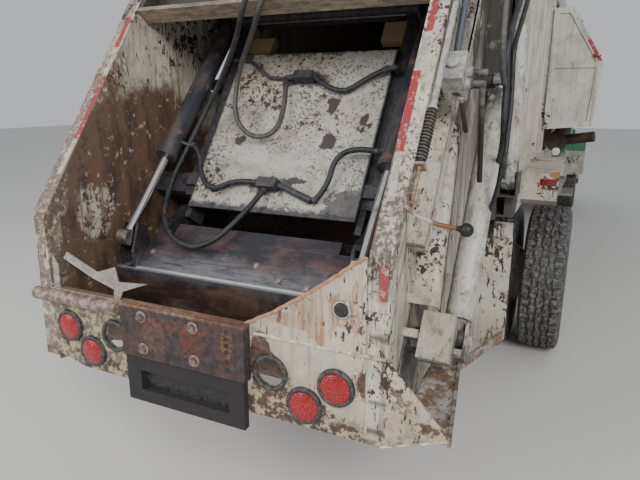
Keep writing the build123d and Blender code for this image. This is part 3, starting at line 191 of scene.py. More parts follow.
def cornerOf(first, second, borders):  # 1 where both fields are past their borders
    return rampOf(first, *borders[0]) * rampOf(second, *borders[1])


def blotsOf(vector, low, high, *noise):  # 1 where the noise is above high, 0 where it is below low
    return rampOf(noiseOf(vector, *noise), low, high)


def mixOf(factor, first, second):
    node = addNode(factor, "Mix", {"Factor": factor, 6: first, 7: second})
    node.data_type = "RGBA"
    return Field(node.outputs[2])


def axesOf(vector):
    return [Field(output) for output in addNode(vector, "SeparateXYZ", {0: vector}).outputs]


def spotOf(vector, grit, centre, radii):  # ragged oval patch: 1 inside, 0 outside
    scale = tuple(1 / r for r in radii)
    shift = tuple(-c / r for c, r in zip(centre, radii))
    return rampOf(lengthOf(mapped(vector, scale, shift)) + grit, 1.06, 0.86)


def lengthOf(vector):
    node = addNode(vector, "VectorMath", {0: vector})
    node.operation = "LENGTH"
    return Field(node.outputs["Value"])


def spotsOf(vector, grit, spots):
    return maxOf(*[spotOf(vector, grit, *spot) for spot in spots])


def gritOf(coords, scale=14, amount=1.3):  # noise about nothing, for ragged borders
    return (noiseOf(coords, scale, 5, 0.65) - 0.5) * amount


class Coat:  # a material with the colour laid on it so far, and how worn it is
    def __init__(self, name, roughness, metallic, colour):
        self.material = bpy.data.materials.new(name)
        self.material.use_nodes = True
        tree = self.material.node_tree
        self.inputs = tree.nodes["Principled BSDF"].inputs
        self.inputs["Base Color"].default_value = (*colour, 1)
        self.inputs["Roughness"].default_value = roughness
        self.inputs["Metallic"].default_value = metallic
        self.coords = Field(tree.nodes.new("ShaderNodeTexCoord").outputs["Object"])
        self.colour = colour

    def lay(self, mask, shade):
        self.colour = mixOf(mask, self.colour, shade)

    def finish(self, rough=None, height=None, strength=0.0, distance=0.001):
        feed(self.inputs["Base Color"], self.colour)
        if rough:
            feed(self.inputs["Roughness"], rough)
        if height:
            values = {"Strength": strength, "Distance": distance, "Height": height}
            feed(self.inputs["Normal"], Field(addNode(height, "Bump", values).outputs["Normal"]))
        return self.material


def startCoat(name, roughness=0.6, metallic=0.0, colour=(0.5, 0.5, 0.5)):
    coat = Coat(name, roughness, metallic, colour)
    return coat, coat.coords


# Weathered paint: a clean coat, greyed by soft clouds and run down by streaks, with chips down to rust.
# A chip is where fine noise plus a share of coarse noise passes a level, and its rusty halo where that
# sum passes a slightly lower one.
paintDefaults = {
    "base": (0.52, 0.49, 0.415),
    "soil": (0.22, 0.19, 0.145),
    "streak": (0.12, 0.082, 0.055),
    "halo": (0.28, 0.14, 0.06),
    "chip": (0.038, 0.029, 0.025),
    "film": (0.36, 0.3, 0.21),
    "filmAmount": 0.45,
    "dashLevel": 0.635,
    "soilAmount": 0.55,
    "streakAmount": 0.4,
    "chipLevel": 0.655,
    "chipScale": 30.0,
    "patchScale": 2.6,
    "patchiness": 0.42,
    "haloWidth": 0.03,
    "roughness": 0.44,
    "roughSoil": 0.82,
    "bump": 0.35,
}


def weatheredPaint(name, overlay=None, **changes):
    # overlay(coat, coords) lays the piece's own marks over the paint
    look = {**paintDefaults, **changes}
    coat, coords = startCoat(name)
    fine = noiseOf(coords, look["chipScale"], 6, 0.66)
    patch = (noiseOf(coords, look["patchScale"], 3) - 0.5) * (look["patchiness"] * 2)
    total = fine + patch
    chip = rampOf(total, look["chipLevel"], look["chipLevel"] + 0.015)
    halo = rampOf(total, look["chipLevel"] - look["haloWidth"], look["chipLevel"])
    film = blotsOf(mapped(coords, (2.5, 2.5, 0.5)), 0.42, 0.64, 3, 6, 0.62)
    cloud = blotsOf(coords, 0.44, 0.66, 4.5, 9, 0.74, 0.6)
    run = blotsOf(mapped(coords, (13, 13, 0.7)), 0.5, 0.66, 2.6, 8, 0.68)
    coat.colour = mixOf(film * look["filmAmount"], look["base"], look["film"])
    coat.lay(cloud * look["soilAmount"], look["soil"])
    coat.lay(run * look["streakAmount"], look["streak"])
    coat.lay(halo * 0.7, look["halo"])
    dash = noiseOf(mapped(coords, (1, 1, 0.22)), 75, 4, 0.7) + patch * 0.45
    chip = maxOf(chip, rampOf(dash, look["dashLevel"], look["dashLevel"] + 0.03))
    coat.lay(chip, look["chip"])
    coat.wear = maxOf(chip, cloud * 0.6)
    if overlay:
        overlay(coat, coords)
    rough = coat.wear * (look["roughSoil"] - look["roughness"]) + look["roughness"]
    return coat.finish(rough, fine * 0.3 - chip, look["bump"], 0.002)


def plainFinish(name, colour, second, scale=18.0, roughness=0.5, metallic=0.0, bump=0.15, streaks=0.0):
    # Two close shades in a noise, for castings, rubber, plastic and bare metal
    coat, coords = startCoat(name, roughness, metallic)
    noise = blotsOf(coords, 0.35, 0.7, scale, 7, 0.7)
    coat.colour = mixOf(noise, colour, second)
    if streaks:
        run = blotsOf(mapped(coords, (14, 14, 1)), 0.5, 0.72, 2.5, 5)
        coat.lay(run * streaks, (0.15, 0.075, 0.035))
    return coat.finish(noise * 0.22 + (roughness - 0.08), noiseOf(coords, scale * 9, 4), bump)


# Finishes of the tailgate and its mechanism. Spots are ((place), (radii)).
hopperMarks = {
    "wallInner": 0.6835,
    "sweep": 0.6,
    "bare": (0.135, 0.08, 0.05),
    "bareDark": (0.05, 0.034, 0.028),
    "oil": (0.026, 0.023, 0.022),
    "flaked": (0.085, 0.066, 0.052),
    "peeled": (0.13, 0.085, 0.06),
    "crumbs": (0.5, 0.45, 0.35),
    "low": (0.12, 0.085, 0.06),
    "seams": [(0.02, 0.01), (0.243, 0.006), (0.3, 0.004), (0.418, 0.005)],
    "left": [((-0.68, 0.27, 1.32), (0.05, 0.11, 0.13)), ((-0.68, 0.1, 1.56), (0.05, 0.05, 0.22)),
             ((-0.68, 0.05, 1.32), (0.05, 0.035, 0.16))],
    # Borders. A pair is where a mark begins and where it is full, or the two ends of a band.
    "outerFace": (0.688, 0.69),
    "lowWall": (0.95, 0.7),
    "channel": (-0.26, 0.012),
    "upperSlide": (0.4, 0.85),
    "join": ((1.52, 1.7), (2.52, 2.62)),
    "column": ((0.505, 0.53), (0.3, -0.15)),
    "rim": ((0.44, 0.5), (0.75, 0.3)),
    "foot": ((0.16, 0.12), (1.45, 1.2)),
}


def hopperOverlay(coat, coords):
    # The inner walls are scraped to brown steel where the blade sweeps
    marks = hopperMarks
    spots = stationsOf(coords)
    x, station, height = axesOf(spots)
    inner = rampOf(abs(x), marks["wallInner"] + 0.002, marks["wallInner"])
    grit = gritOf(coords, 9, 1)
    radius = lengthOf(mapped(spots, (0, 1, 1), (0, -pivotStation, -pivotHeight)))
    swept = rampOf(radius + grit * 0.28, marks["sweep"] + 0.06, marks["sweep"] - 0.05)
    kept = spotsOf(spots, grit, marks["left"]) * blotsOf(coords, 0.44, 0.48, 24, 8, 0.78)
    smear = blotsOf(mapped(coords, (3, 3, 1)), 0.4, 0.66, 5, 7, 0.7)
    bare = mixOf(smear, marks["bare"], marks["bareDark"])
    crumbs = blotsOf(coords, 0.6, 0.63, 26, 6, 0.7)
    bare = mixOf(crumbs * 0.55, bare, marks["crumbs"])
    mask = inner * swept * (1.0 - kept * 0.9)
    coat.lay(mask, bare)
    coat.lay(rampOf(height, *marks["lowWall"]) * 0.45, marks["low"])
    # Oil on the outer faces, on the upper slide and between the slide cylinder and the column; between
    # cylinder and column the dark colour is oil and painted shade together
    up, out = axesOf(slideOf(coords))[1:]
    outer = rampOf(abs(x), *marks["outerFace"])
    blot = blotsOf(mapped(coords, (1, 1, 0.45)), 0.38, 0.5, 7.5, 8, 0.72)
    channel = bandOf(out, *marks["channel"], 0.03)
    upper = rampOf(up, *marks["upperSlide"]) * 0.6
    coat.lay(outer * blot * maxOf(channel, upper) * 0.9, marks["oil"])
    # The sides are oily where they meet the body, and at the hinge pins of the lift cylinders
    thick = blotsOf(coords, 0.34, 0.46, 9, 8, 0.72)
    joined = maxOf(rampOf(station, *marks["join"][0]), rampOf(height, *marks["join"][1]))
    coat.lay(outer * joined * thick * 0.88, marks["oil"])
    # Grease lines where the plates of the side meet, broken by the grit
    ragged = out + grit * 0.03
    for at, half in marks["seams"]:
        coat.lay(outer * bandOf(ragged, at - half, at + half, 0.006) * 0.8, marks["oil"])
    column = cornerOf(out, up, marks["column"])
    flakes = rampOf(noiseOf(coords, 52, 8, 0.78) + column * 0.12, 0.58, 0.62)
    coat.lay(rampOf(column, 0.0, 0.3) * flakes * 0.9, marks["flaked"])
    # The left side's rear edge is peeled
    edge = maxOf(cornerOf(out, up, marks["rim"]), cornerOf(station, height, marks["foot"]))
    peeled = rampOf(x, 0.1, -0.1) * blotsOf(coords, 0.44, 0.5, 34, 7, 0.75)
    coat.lay(edge * peeled * 0.85, marks["peeled"])
    coat.wear = maxOf(coat.wear, mask * 0.5)


def pairOf(coords, grit, centre, radii):  # the same spot on both sides
    return spotsOf(stationsOf(coords), grit, [((side * centre[0], *centre[1:]), radii) for side in (-1, 1)])


def bodyOverlay(coat, coords):
    # Black oil about the lower pins of the lift cylinders
    oil = pairOf(coords, gritOf(coords, 14, 0.9), (0.86, 1.8, 1.28), (0.13, 0.24, 0.19))
    coat.lay(oil * 0.92, hopperMarks["oil"])


headerMarks = {"tan": (0.27, 0.2, 0.13), "brown": (0.06, 0.048, 0.04), "hollow": (0.022, 0.02, 0.021),
               "beam": (0.7, 0.982), "opening": (0.754, 0.962),  # up the slide
               "face": (0.47, 0.48)}  # off it


def headerOverlay(coat, coords):
    # The header beam over the hopper is tan with dirt, and its opening is painted near black as shade
    up, out = axesOf(slideOf(coords))[1:]
    marks = headerMarks
    beam = bandOf(up, *marks["beam"]) * rampOf(out, *marks["face"])
    cloud = blotsOf(mapped(coords, (1.5, 5, 5)), 0.34, 0.62, 8, 8, 0.72)
    coat.lay(beam * 0.85, mixOf(cloud, marks["tan"], marks["brown"]))
    # Painted shade, near black, in the opening of the beam
    coat.lay(beam * bandOf(up, *marks["opening"], 0.002) * 0.85, marks["hollow"])


panelMarks = {
    "bareSpots": [((0.31, 0, 0.94), (0.055, 0.05, 0.1)), ((0.4, 0, 0.8), (0.17, 0.05, 0.075)),
                  ((0.7, 0, 0.935), (0.055, 0.05, 0.055)), ((0.3, 0, 0.78), (0.06, 0.05, 0.09)),
                  ((0.56, 0, 0.755), (0.14, 0.05, 0.03)), ((-0.6, 0, 0.85), (0.05, 0.05, 0.05)),
                  ((-0.42, 0, 0.76), (0.13, 0.05, 0.045)), ((0.89, 0, 0.835), (0.06, 0.05, 0.022))],
    "rustSpots": [((0.49, 0, 1.165), (0.06, 0.05, 0.075)), ((0.53, 0, 1.1), (0.05, 0.05, 0.06)),
                  ((0.652, 0, 1.165), (0.02, 0.05, 0.085)), ((0.6, 0, 1.16), (0.045, 0.05, 0.055)),
                  ((0.43, 0, 1.1), (0.12, 0.05, 0.022)), ((-0.56, 0, 0.98), (0.08, 0.05, 0.05))],
    "bare": (0.06, 0.036, 0.026),
    "bareLight": (0.13, 0.075, 0.05),
    "rust": (0.26, 0.13, 0.06),
    "soot": (0.06, 0.042, 0.032),
    "flaked": (0.42, 0.35, 0.22),
    # Painted shade, near black, behind the bracket's lower frame, in the box below
    "bracketShade": (0.01, 0.01, 0.012),
    "bar": ((0.12, 0.08, 0.062), (0.3, 0.225, 0.19)),
    "bracketShadeBox": ((-0.26, 0.24), (0.66, 0.83)),
    "barStation": (-0.004, -0.006),
}


def panelOverlay(coat, coords):
    marks = panelMarks
    spots = stationsOf(coords)
    x, station, height = axesOf(spots)
    grit = gritOf(coords, 18, 1.5)
    rust = spotsOf(mapped(spots, (1, 1, 0.92), (0, 0, 0.08)), grit, marks["rustSpots"])
    run = blotsOf(mapped(coords, (16, 1, 1.2)), 0.38, 0.62, 3, 5)
    coat.lay(rust * run * 0.85, marks["rust"])
    bare = spotsOf(spots, grit, marks["bareSpots"])
    tone = blotsOf(coords, 0.4, 0.65, 40, 5)
    coat.lay(bare, mixOf(tone, marks["bare"], marks["bareLight"]))
    # Grime along the lower edge, heavier at the left
    soot = height + grit * 0.14 + (0.14 - rampOf(x, 0.3, -0.35) * 0.27)
    coat.lay(rampOf(soot, 1.02, 0.86) * 0.8, marks["soot"])
    flakes = blotsOf(coords, 0.5, 0.53, 30, 8, 0.76)
    coat.lay(rampOf(soot, 1.1, 0.98) * flakes * 0.8, marks["flaked"])
    # Painted shade: a near black box on the panel behind the bracket's lower frame
    wide, tall = marks["bracketShadeBox"]
    coat.lay(bandOf(x, *wide) * bandOf(height, *tall), marks["bracketShade"])
    coat.lay(rampOf(station, *marks["barStation"]), mixOf(tone, *marks["bar"]))
    coat.wear = maxOf(coat.wear, bare)


carriageMarks = {
    "patches": [((0.172, 0.563, 0.1), (0.03, 0.045, 0.05)), ((0.203, 0.376, 0.1), (0.038, 0.042, 0.05)),
                ((-0.248, 0.363, 0.1), (0.032, 0.03, 0.05)), ((0.344, 0.487, 0.1), (0.018, 0.03, 0.05)),
                ((0.1, 0.17, 0.1), (0.05, 0.016, 0.05))],
    "grimes": [((0.36, 0.05, 0.1), (0.11, 0.11, 0.05)), ((-0.4, 0.86, 0.1), (0.09, 0.05, 0.05)),
               ((0.0, 0.9, 0.1), (0.42, 0.055, 0.05)), ((-0.02, 0.135, 0.1), (0.1, 0.045, 0.03)),
               ((0.02, 0.7, 0.1), (0.1, 0.04, 0.03))],
    "patch": (0.052, 0.036, 0.038),
    "navy": (0.02, 0.022, 0.03),
    "grease": (0.075, 0.065, 0.062),
    "tan": (0.36, 0.26, 0.15),
    "lip": (0.045, 0.018),
    "proud": (0.101, 0.103),
    "sunk": (0.0885, 0.087),
    "side": (0.402, 0.412),
    "blocks": ((0.9, 1.066), (0.4125, 0.4115), (0.014, 0.08)),
}


def carriageOverlay(coat, coords):
    # White panel with its patches; beams, tubes and blocks are dark with old grease
    marks = carriageMarks
    slide = slideOf(coords)
    x, up, out = axesOf(slide)
    across = abs(x)
    grit = gritOf(coords, 26, 2.6)
    dirt = mixOf(blotsOf(coords, 0.35, 0.7, 30, 6, 0.7), marks["navy"], marks["grease"])
    crowd = (noiseOf(coords, 5, 5) - 0.5) * 0.5
    specks = rampOf(noiseOf(coords, 80, 4, 0.65) + crowd, 0.585, 0.62)
    coat.lay(specks * 0.8, marks["patch"])
    coat.lay(spotsOf(slide, grit, marks["patches"]), marks["patch"])
    grime = spotsOf(slide, grit, marks["grimes"]) * 0.85
    lip = rampOf(up + grit * 0.03, *marks["lip"])
    edges = maxOf(rampOf(out, *marks["proud"]), rampOf(out, *marks["sunk"]), rampOf(across, *marks["side"]))
    dark = maxOf(grime, lip, edges)
    coat.lay(dark, dirt)
    along, wide, deep = marks["blocks"]
    coat.lay(bandOf(up, *along) * rampOf(across, *wide) * bandOf(out, *deep) * 0.9, marks["tan"])
    coat.wear = maxOf(coat.wear, dark * 0.45)


bladeLook = {
    "oiled": ((0.045, 0.045, 0.055), (0.13, 0.085, 0.075)),
    "scoured": (0.3, 0.3, 0.32),
    "below": ((0.05, 0.032, 0.026), (0.16, 0.1, 0.07)),
    "foldHighlight": (0.62, 0.61, 0.6),
    "wearEdge": (0.5, 0.49, 0.47),
    # Heights
    "scouredBand": (1.05, 1.125),
    "foldHighlightBand": (1.068, 1.082),
    "brownTop": (1.055, 1.02),
    "edgeTop": (0.775, 0.75),
}


def bladeSteel():
    # Dark oiled steel above, scoured bright towards the fold, brown below it, with a painted highlight along
    # the rounded fold
    coat, coords = startCoat("bladeSteel", 0.4, 0.75)
    height = axesOf(coords)[2]
    grit = gritOf(coords, 12, 0.12)
    smear = blotsOf(mapped(coords, (1, 2.6, 2.6)), 0.42, 0.66, 4.5, 8, 0.7, 0.6)
    scratch = noiseOf(mapped(coords, (3, 30, 30)), 3, 5, 0.7)
    look = bladeLook
    coat.colour = mixOf(smear, *look["oiled"])
    polish = bandOf(height + grit, *look["scouredBand"], 0.045) * rampOf(scratch, 0.25, 0.62)
    coat.lay(polish * 0.7, look["scoured"])
    coat.lay(rampOf(height + grit, *look["brownTop"]), mixOf(smear, *look["below"]))
    # Painted highlight: a light line along the rounded fold
    coat.lay(bandOf(height, *look["foldHighlightBand"]) * 0.8, look["foldHighlight"])
    coat.lay(rampOf(height, *look["edgeTop"]), look["wearEdge"])
    return coat.finish(0.62 - polish * 0.3, scratch, 0.25)


bracketLook = {
    "dark": ((0.024, 0.02, 0.02), (0.062, 0.048, 0.045)),
    "red": (0.12, 0.045, 0.03),
    "lip": ((0.13, 0.06, 0.03), (0.3, 0.19, 0.12)),
    "boltTips": ((0.2, 0.16, 0.15), (0.06, 0.045, 0.042)),
    "frame": (0.018, 0.017, 0.019),
    "lipHeight": (1.056, 1.066),
    "lipFade": (0, 0.2),
    "tipStation": (-0.0412, -0.0418),
    "frameTop": (0.868, 0.862),
    "stains": [((0.197, -0.04, 0.995), (0.024, 0.05, 0.058), (0.24, 0.125, 0.035)),  # place, radii, colour
               ((0.04, -0.04, 0.96), (0.045, 0.05, 0.06), (0.18, 0.036, 0.024)),
               ((-0.12, -0.04, 0.96), (0.05, 0.05, 0.08), (0.15, 0.085, 0.05)),
               ((-0.02, -0.04, 1.02), (0.16, 0.05, 0.022), (0.2, 0.05, 0.026))],
}


def bracketRust():
    # Dark rust with red patches, an orange top lip and a black frame below
    coat, coords = startCoat("bracketRust", 0.85, 0.1)
    spots = stationsOf(coords)
    x, station, height = axesOf(spots)
    grit = gritOf(coords, 20, 1.2)
    grain = blotsOf(coords, 0.35, 0.66, 42, 7, 0.72)
    cloud = blotsOf(coords, 0.42, 0.62, 9, 6, 0.6)
    look = bracketLook
    coat.colour = mixOf(grain, *look["dark"])
    coat.lay(cloud * 0.3, look["red"])
    lip = rampOf(height + grit * 0.01, *look["lipHeight"]) * (0.9 - rampOf(x, *look["lipFade"]) * 0.5)
    coat.lay(lip, mixOf(grain, *look["lip"]))
    mottle = blotsOf(coords, 0.42, 0.6, 55, 6, 0.7) * 0.6
    for centre, radii, shade in look["stains"]:
        coat.lay(spotOf(spots, grit, centre, radii) * mottle, shade)
    coat.lay(rampOf(station, *look["tipStation"]), mixOf(grain, *look["boltTips"]))
    coat.lay(rampOf(height, *look["frameTop"]) * 0.85, look["frame"])
    return coat.finish(None, grain, 0.6, 0.002)


zincLook = {"zinc": ((0.3, 0.3, 0.29), (0.46, 0.45, 0.42)), "rust": ((0.1, 0.055, 0.03), (0.26, 0.16, 0.085)),
            "left": 0.38, "right": 0.93}  # how much of the rust shows on either side


def zincRust():
    # Zinc with rust over the grating; the torn sheets on the left sill stay bright
    coat, coords = startCoat("zincRust", 0.55, 0.45)
    x = axesOf(coords)[0]
    zinc = mixOf(rampOf(cellsOf(coords, 70), 0.1, 0.9), *zincLook["zinc"])
    rust = blotsOf(coords, 0.4, 0.56, 12, 8, 0.72)
    amount = rust * (rampOf(x, 0.0, 0.1) * (zincLook["right"] - zincLook["left"]) + zincLook["left"])
    coat.colour = mixOf(amount, zinc, mixOf(noiseOf(coords, 60, 4), *zincLook["rust"]))
    return coat.finish(amount * 0.4 + 0.42, rust, 0.35)


fenderMarks = {"strip": (0.045, 0.035, 0.03), "rust": (0.33, 0.15, 0.055),
               "stripBorders": ((3.9, 3.8), (1.176, 1.172)),  # station and height
               "torn": ((1.1, 2.23, 1.335), (0.06, 0.12, 0.022))}


def fenderOverlay(coat, coords):
    # Dark strip along the foot of the rear fenders, and orange rust at their torn corner
    station, height = axesOf(stationsOf(coords))[1:]
    coat.lay(cornerOf(station, height, fenderMarks["stripBorders"]) * 0.85, fenderMarks["strip"])
    torn = pairOf(coords, gritOf(coords, 24, 1.4), *fenderMarks["torn"])
    coat.lay(torn, fenderMarks["rust"])
    coat.wear = maxOf(coat.wear, torn)


valveLook = {
    "box": ((0.42, 0.41, 0.38), (0.12, 0.1, 0.085)),
    "lever": (0.17, 0.075, 0.035),
    "knob": (0.012, 0.012, 0.013),
    "rod": ((0.16, 0.09, 0.05), (0.3, 0.24, 0.18)),
    "pipes": ((0.075, 0.038, 0.028), (0.022, 0.02, 0.019)),  # the left one, the right one
    "fittings": ((0.1, 0.085, 0.075), (0.03, 0.027, 0.026)),
    "guard": (0.018, 0.017, 0.017),
    # Borders
    "leverBox": ((1.53, 1.51), (0.38, 0.4)),  # height, off
    "leverStart": (0.832, 0.848),
    "knobStart": (0.908, 0.912),
    "linkageBox": ((0.786, 0.783), (0.5, 0.52)),  # across, off
    "rodTop": (0.034, 0.028),
    "guardSpan": (0.034, 0.232),
    "pipesOff": (0.385, 0.375),
    "rightPipe": (0.824, 0.828),
    "fittingsBox": ((0.846, 0.85), (1.7, 1.72)),  # across, height
}


def valveFinish():
    # Pale grey box; dark pipes, fittings and spring guard; the lever rusts towards its black knob
    coat, coords = startCoat("valveFinish", 0.5, 0.25)
    x, height = axesOf(coords)[::2]
    up, out = axesOf(slideOf(coords))[1:]
    cloud = blotsOf(coords, 0.4, 0.62, 26, 7, 0.7)
    look = valveLook
    coat.colour = mixOf(cloud * 0.6, *look["box"])
    lever = cornerOf(height, out, look["leverBox"])
    coat.lay(lever * rampOf(x, *look["leverStart"]), look["lever"])
    coat.lay(lever * rampOf(x, *look["knobStart"]), look["knob"])
    linkage = cornerOf(x, out, look["linkageBox"])
    coat.lay(linkage * rampOf(up, *look["rodTop"]), mixOf(cloud, *look["rod"]))
    coat.lay(rampOf(out, *look["pipesOff"]), mixOf(rampOf(x, *look["rightPipe"]), *look["pipes"]))
    coat.lay(cornerOf(x, height, look["fittingsBox"]) * 0.8, mixOf(cloud, *look["fittings"]))
    coat.lay(linkage * bandOf(up, *look["guardSpan"], 0.002), look["guard"])
    return coat.finish(None, cloud, 0.25)


def cylinderFinish(name, base, grime, amount, oiled=None):
    # Painted tube, blackened in blotches where oil has run
    coat, coords = startCoat(name, 0.42)
    cloud = blotsOf(mapped(coords, (3, 1, 1)), 0.4, 0.64, 7, 8, 0.72, 0.5)
    specks = blotsOf(coords, 0.6, 0.64, 60, 5, 0.7)
    rust = blotsOf(coords, 0.6, 0.66, 15, 5)
    coat.colour = mixOf(cloud * amount, base, grime)
    coat.lay(rust * 0.6, (0.24, 0.12, 0.05))
    coat.lay(specks * 0.7, (0.04, 0.032, 0.028))
    if oiled:
        # Oil at both ends: from the first pair of places up the slide, and below the second
        up = axesOf(slideOf(coords))[1]
        ends = maxOf(rampOf(up, *oiled[0]), rampOf(up, *oiled[1]))
        blot = blotsOf(coords, 0.36, 0.52, 13, 7, 0.72)
        coat.lay(ends * blot * 0.92, (0.022, 0.02, 0.02))
    return coat.finish(cloud * 0.3 + 0.38, specks, 0.2)


def chromeFinish():
    coat, coords = startCoat("rodChrome", 0.2, 1.0)
    film = blotsOf(coords, 0.48, 0.72, 16, 7, 0.7)
    coat.colour = mixOf(film, (0.72, 0.72, 0.72), (0.3, 0.26, 0.22))
    return coat.finish(film * 0.35 + 0.16)


def rubberFinish(name, shade, dust, amount, scale=30.0):
    coat, coords = startCoat(name, 0.62)
    cloud = blotsOf(coords, 0.42, 0.68, scale, 7, 0.7)
    coat.colour = mixOf(cloud * amount, shade, dust)
    return coat.finish(cloud * 0.3 + 0.5, noiseOf(coords, 320, 3), 0.25, 0.0008)


def glassFinish():
    coat, coords = startCoat("cabGlass", 0.05, 0.0, (0.42, 0.5, 0.5))
    coat.inputs["Transmission Weight"].default_value = 0.85
    coat.inputs["IOR"].default_value = 1.45
    film = blotsOf(coords, 0.45, 0.8, 3, 6)
    return coat.finish(film * 0.2 + 0.04)


def lensFinish(name, bright, deep, cell=170.0):
    # Moulded lens: small prisms under a glossy skin
    coat, coords = startCoat(name, 0.16)
    coat.inputs["Coat Weight"].default_value = 0.35
    prism = rampOf(cellsOf(mapped(coords, (1, 0.15, 1)), cell), 0.05, 0.55)
    coat.colour = mixOf(prism, bright, deep)
    return coat.finish(None, prism, 0.35)


def tapeFinish(name, shade, worn, level=0.55):
    coat, coords = startCoat(name, 0.35)
    cells = rampOf(cellsOf(coords, 240, "DISTANCE_TO_EDGE"), 0.02, 0.1)
    rubbed = blotsOf(coords, level, level + 0.06, 38, 7, 0.72)
    coat.colour = mixOf(cells, tuple(0.72 * c for c in shade), shade)
    coat.lay(rubbed, worn)
    return coat.finish(rubbed * 0.4 + 0.3)


def bothSides(*names):
    return [name + side for name in names for side in ("_left", "_right")]


# Every node's finish, each finish with the nodes that have it
nodeFinishes = {
    plainFinish("chassisBlack", (0.02, 0.019, 0.018), (0.075, 0.06, 0.048), 9, 0.65, 0, 0.2, 0.4):
        ["chassis_frame"],
    plainFinish("castDark", (0.055, 0.048, 0.042), (0.13, 0.09, 0.06), 14, 0.75, 0.2, 0.4, 0.3):
        ["front_axle", "rear_axle", "engine_block", *bothSides("steering_knuckle")],
    plainFinish("bumperGrey", (0.3, 0.3, 0.29), (0.2, 0.19, 0.17), 6, 0.45, 0.3, 0.1, 0.3): ["front_bumper"],
    plainFinish("tankAluminium", (0.48, 0.48, 0.48), (0.3, 0.29, 0.27), 8, 0.36, 0.9, 0.1): ["fuel_tank"],
    plainFinish("exhaustSteel", (0.03, 0.026, 0.024), (0.11, 0.065, 0.04), 16, 0.7, 0.4, 0.3):
        ["exhaust_pipe"],
    weatheredPaint("fenderPaint", fenderOverlay, base=(0.46, 0.44, 0.37), chipLevel=0.67): ["fenders"],
    weatheredPaint("bodyPaint", bodyOverlay, base=(0.54, 0.52, 0.46), chipLevel=0.7, soilAmount=0.45,
                   streakAmount=0.45, dashLevel=0.68):
        ["body_floor", "body_roof", "body_front_wall", "body_rear_frame",
         *bothSides("body_side", "side_bin", "bin_lid")],
    weatheredPaint("tailgatePaint", hopperOverlay, chipLevel=0.625, streakAmount=0.75, dashLevel=0.585,
                   filmAmount=0.6): bothSides("tailgate_side"),
    weatheredPaint("headerPaint", headerOverlay, chipLevel=0.64, streakAmount=0.6): ["tailgate_roof"],
    weatheredPaint("panelPaint", panelOverlay, base=(0.48, 0.44, 0.345), chipLevel=0.62, dashLevel=0.6,
                   filmAmount=0.6): ["light_panel"],
    weatheredPaint("troughSteel", base=(0.17, 0.11, 0.075), soil=(0.06, 0.045, 0.038),
                   halo=(0.25, 0.12, 0.05), film=(0.11, 0.072, 0.048), chipLevel=0.62, soilAmount=0.7,
                   roughness=0.6): ["hopper_trough", "ejector_panel"],
    weatheredPaint("carriagePaint", carriageOverlay, base=(0.4, 0.385, 0.345), chipLevel=0.66, soilAmount=0.7,
                   patchiness=0.35, streakAmount=0.3, dashLevel=0.63): ["carriage"],
    bladeSteel(): ["packer_blade"],
    bracketRust(): ["sill_bracket"],
    zincRust(): ["riding_step"],
    valveFinish(): ["valve_controls"],
    cylinderFinish("slidePaint", (0.5, 0.475, 0.42), (0.1, 0.085, 0.07), 0.6, ((0.56, 0.7), (-0.24, -0.34))):
        ["slide_cylinders"],
    cylinderFinish("liftPaint", (0.54, 0.52, 0.47), (0.13, 0.11, 0.09), 0.55, ((1.3, 1.5), (0.88, 0.74))):
        ["lift_cylinders"],
    cylinderFinish("bladePaint", (0.028, 0.03, 0.04), (0.11, 0.085, 0.07), 0.6): ["blade_cylinders"],
    chromeFinish(): ["blade_rods", "slide_rods", "lift_rods"],
    weatheredPaint("greenPaint", base=(0.03, 0.17, 0.1), soil=(0.1, 0.13, 0.1), streak=(0.08, 0.09, 0.07),
                   film=(0.055, 0.18, 0.115), filmAmount=0.3, chipLevel=0.76, soilAmount=0.22,
                   streakAmount=0.2, dashLevel=0.74, roughness=0.3, bump=0.1):
        ["cab_floor", "cab_back_wall", "cab_roof", "cab_front_frame", "hood", *bothSides("cab_door")],
    glassFinish(): ["cab_glass", *bothSides("door_glass")],
    plainFinish("cabTrim", (0.035, 0.035, 0.038), (0.075, 0.072, 0.07), 40, 0.7, 0, 0.35): ["cab_interior"],
    plainFinish("brightTrim", (0.62, 0.62, 0.62), (0.4, 0.39, 0.37), 12, 0.22, 0.95, 0.05): ["grille"],
    lensFinish("headLens", (0.8, 0.8, 0.78), (0.42, 0.43, 0.44), 120.0): ["headlamps"],
}
for finish, names in nodeFinishes.items():
    for name in names:
        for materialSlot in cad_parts[name].material_slots:
            materialSlot.material = finish
print("finishes ready")

# Shapes. A sheet is a grid of points, rows by columns, and a piece is one or more sheets in one mesh.


def gridFaces(rows, columns, closeRows, closeColumns):
    i = np.arange(rows if closeRows else rows - 1)[:, None]
    j = np.arange(columns if closeColumns else columns - 1)[None, :]
    corners = [(i, j), (i, j + 1), (i + 1, j + 1), (i + 1, j)]
    index = [(a % rows) * columns + b % columns for a, b in corners]
    return np.stack(np.broadcast_arrays(*index), -1).reshape(-1, 4)


def sheetOf(grid, closeRows=False, closeColumns=True, caps=False):
    return {"grid": grid, "closeRows": closeRows, "closeColumns": closeColumns, "caps": caps}


def unit(vector):
    vector = np.asarray(vector, float)
    return vector / np.linalg.norm(vector, axis=-1, keepdims=True)


def tube(path, section, reference=None):
    # A closed section carried along a path: point = path + section x times side + section y times normal,
    # where side is square to the path's direction and to one fixed reference direction.
    # section is (columns, 2), or (rows, columns, 2) when it changes on the way.
    path = np.asarray(path, float)
    direction = unit(np.gradient(path, axis=0))
    if reference is None:
        reference = np.linalg.svd(direction)[2][-1]
    side = unit(np.cross(direction, reference))
    normal = np.cross(side, direction)
    section = np.broadcast_to(section, (len(path), *np.shape(section)[-2:]))
    points = path[:, None] + section[..., :1] * side[:, None] + section[..., 1:] * normal[:, None]
    return sheetOf(points, caps=True)


def ringSection(radius, sides=10):
    angle = np.arange(sides) / sides * 2 * math.pi
    return np.stack([radius * np.cos(angle), radius * np.sin(angle)], -1)


def boxSection(width, thickness):
    half = np.array([width, thickness]) / 2
    return np.array([(-1, -1), (1, -1), (1, 1), (-1, 1)]) * half


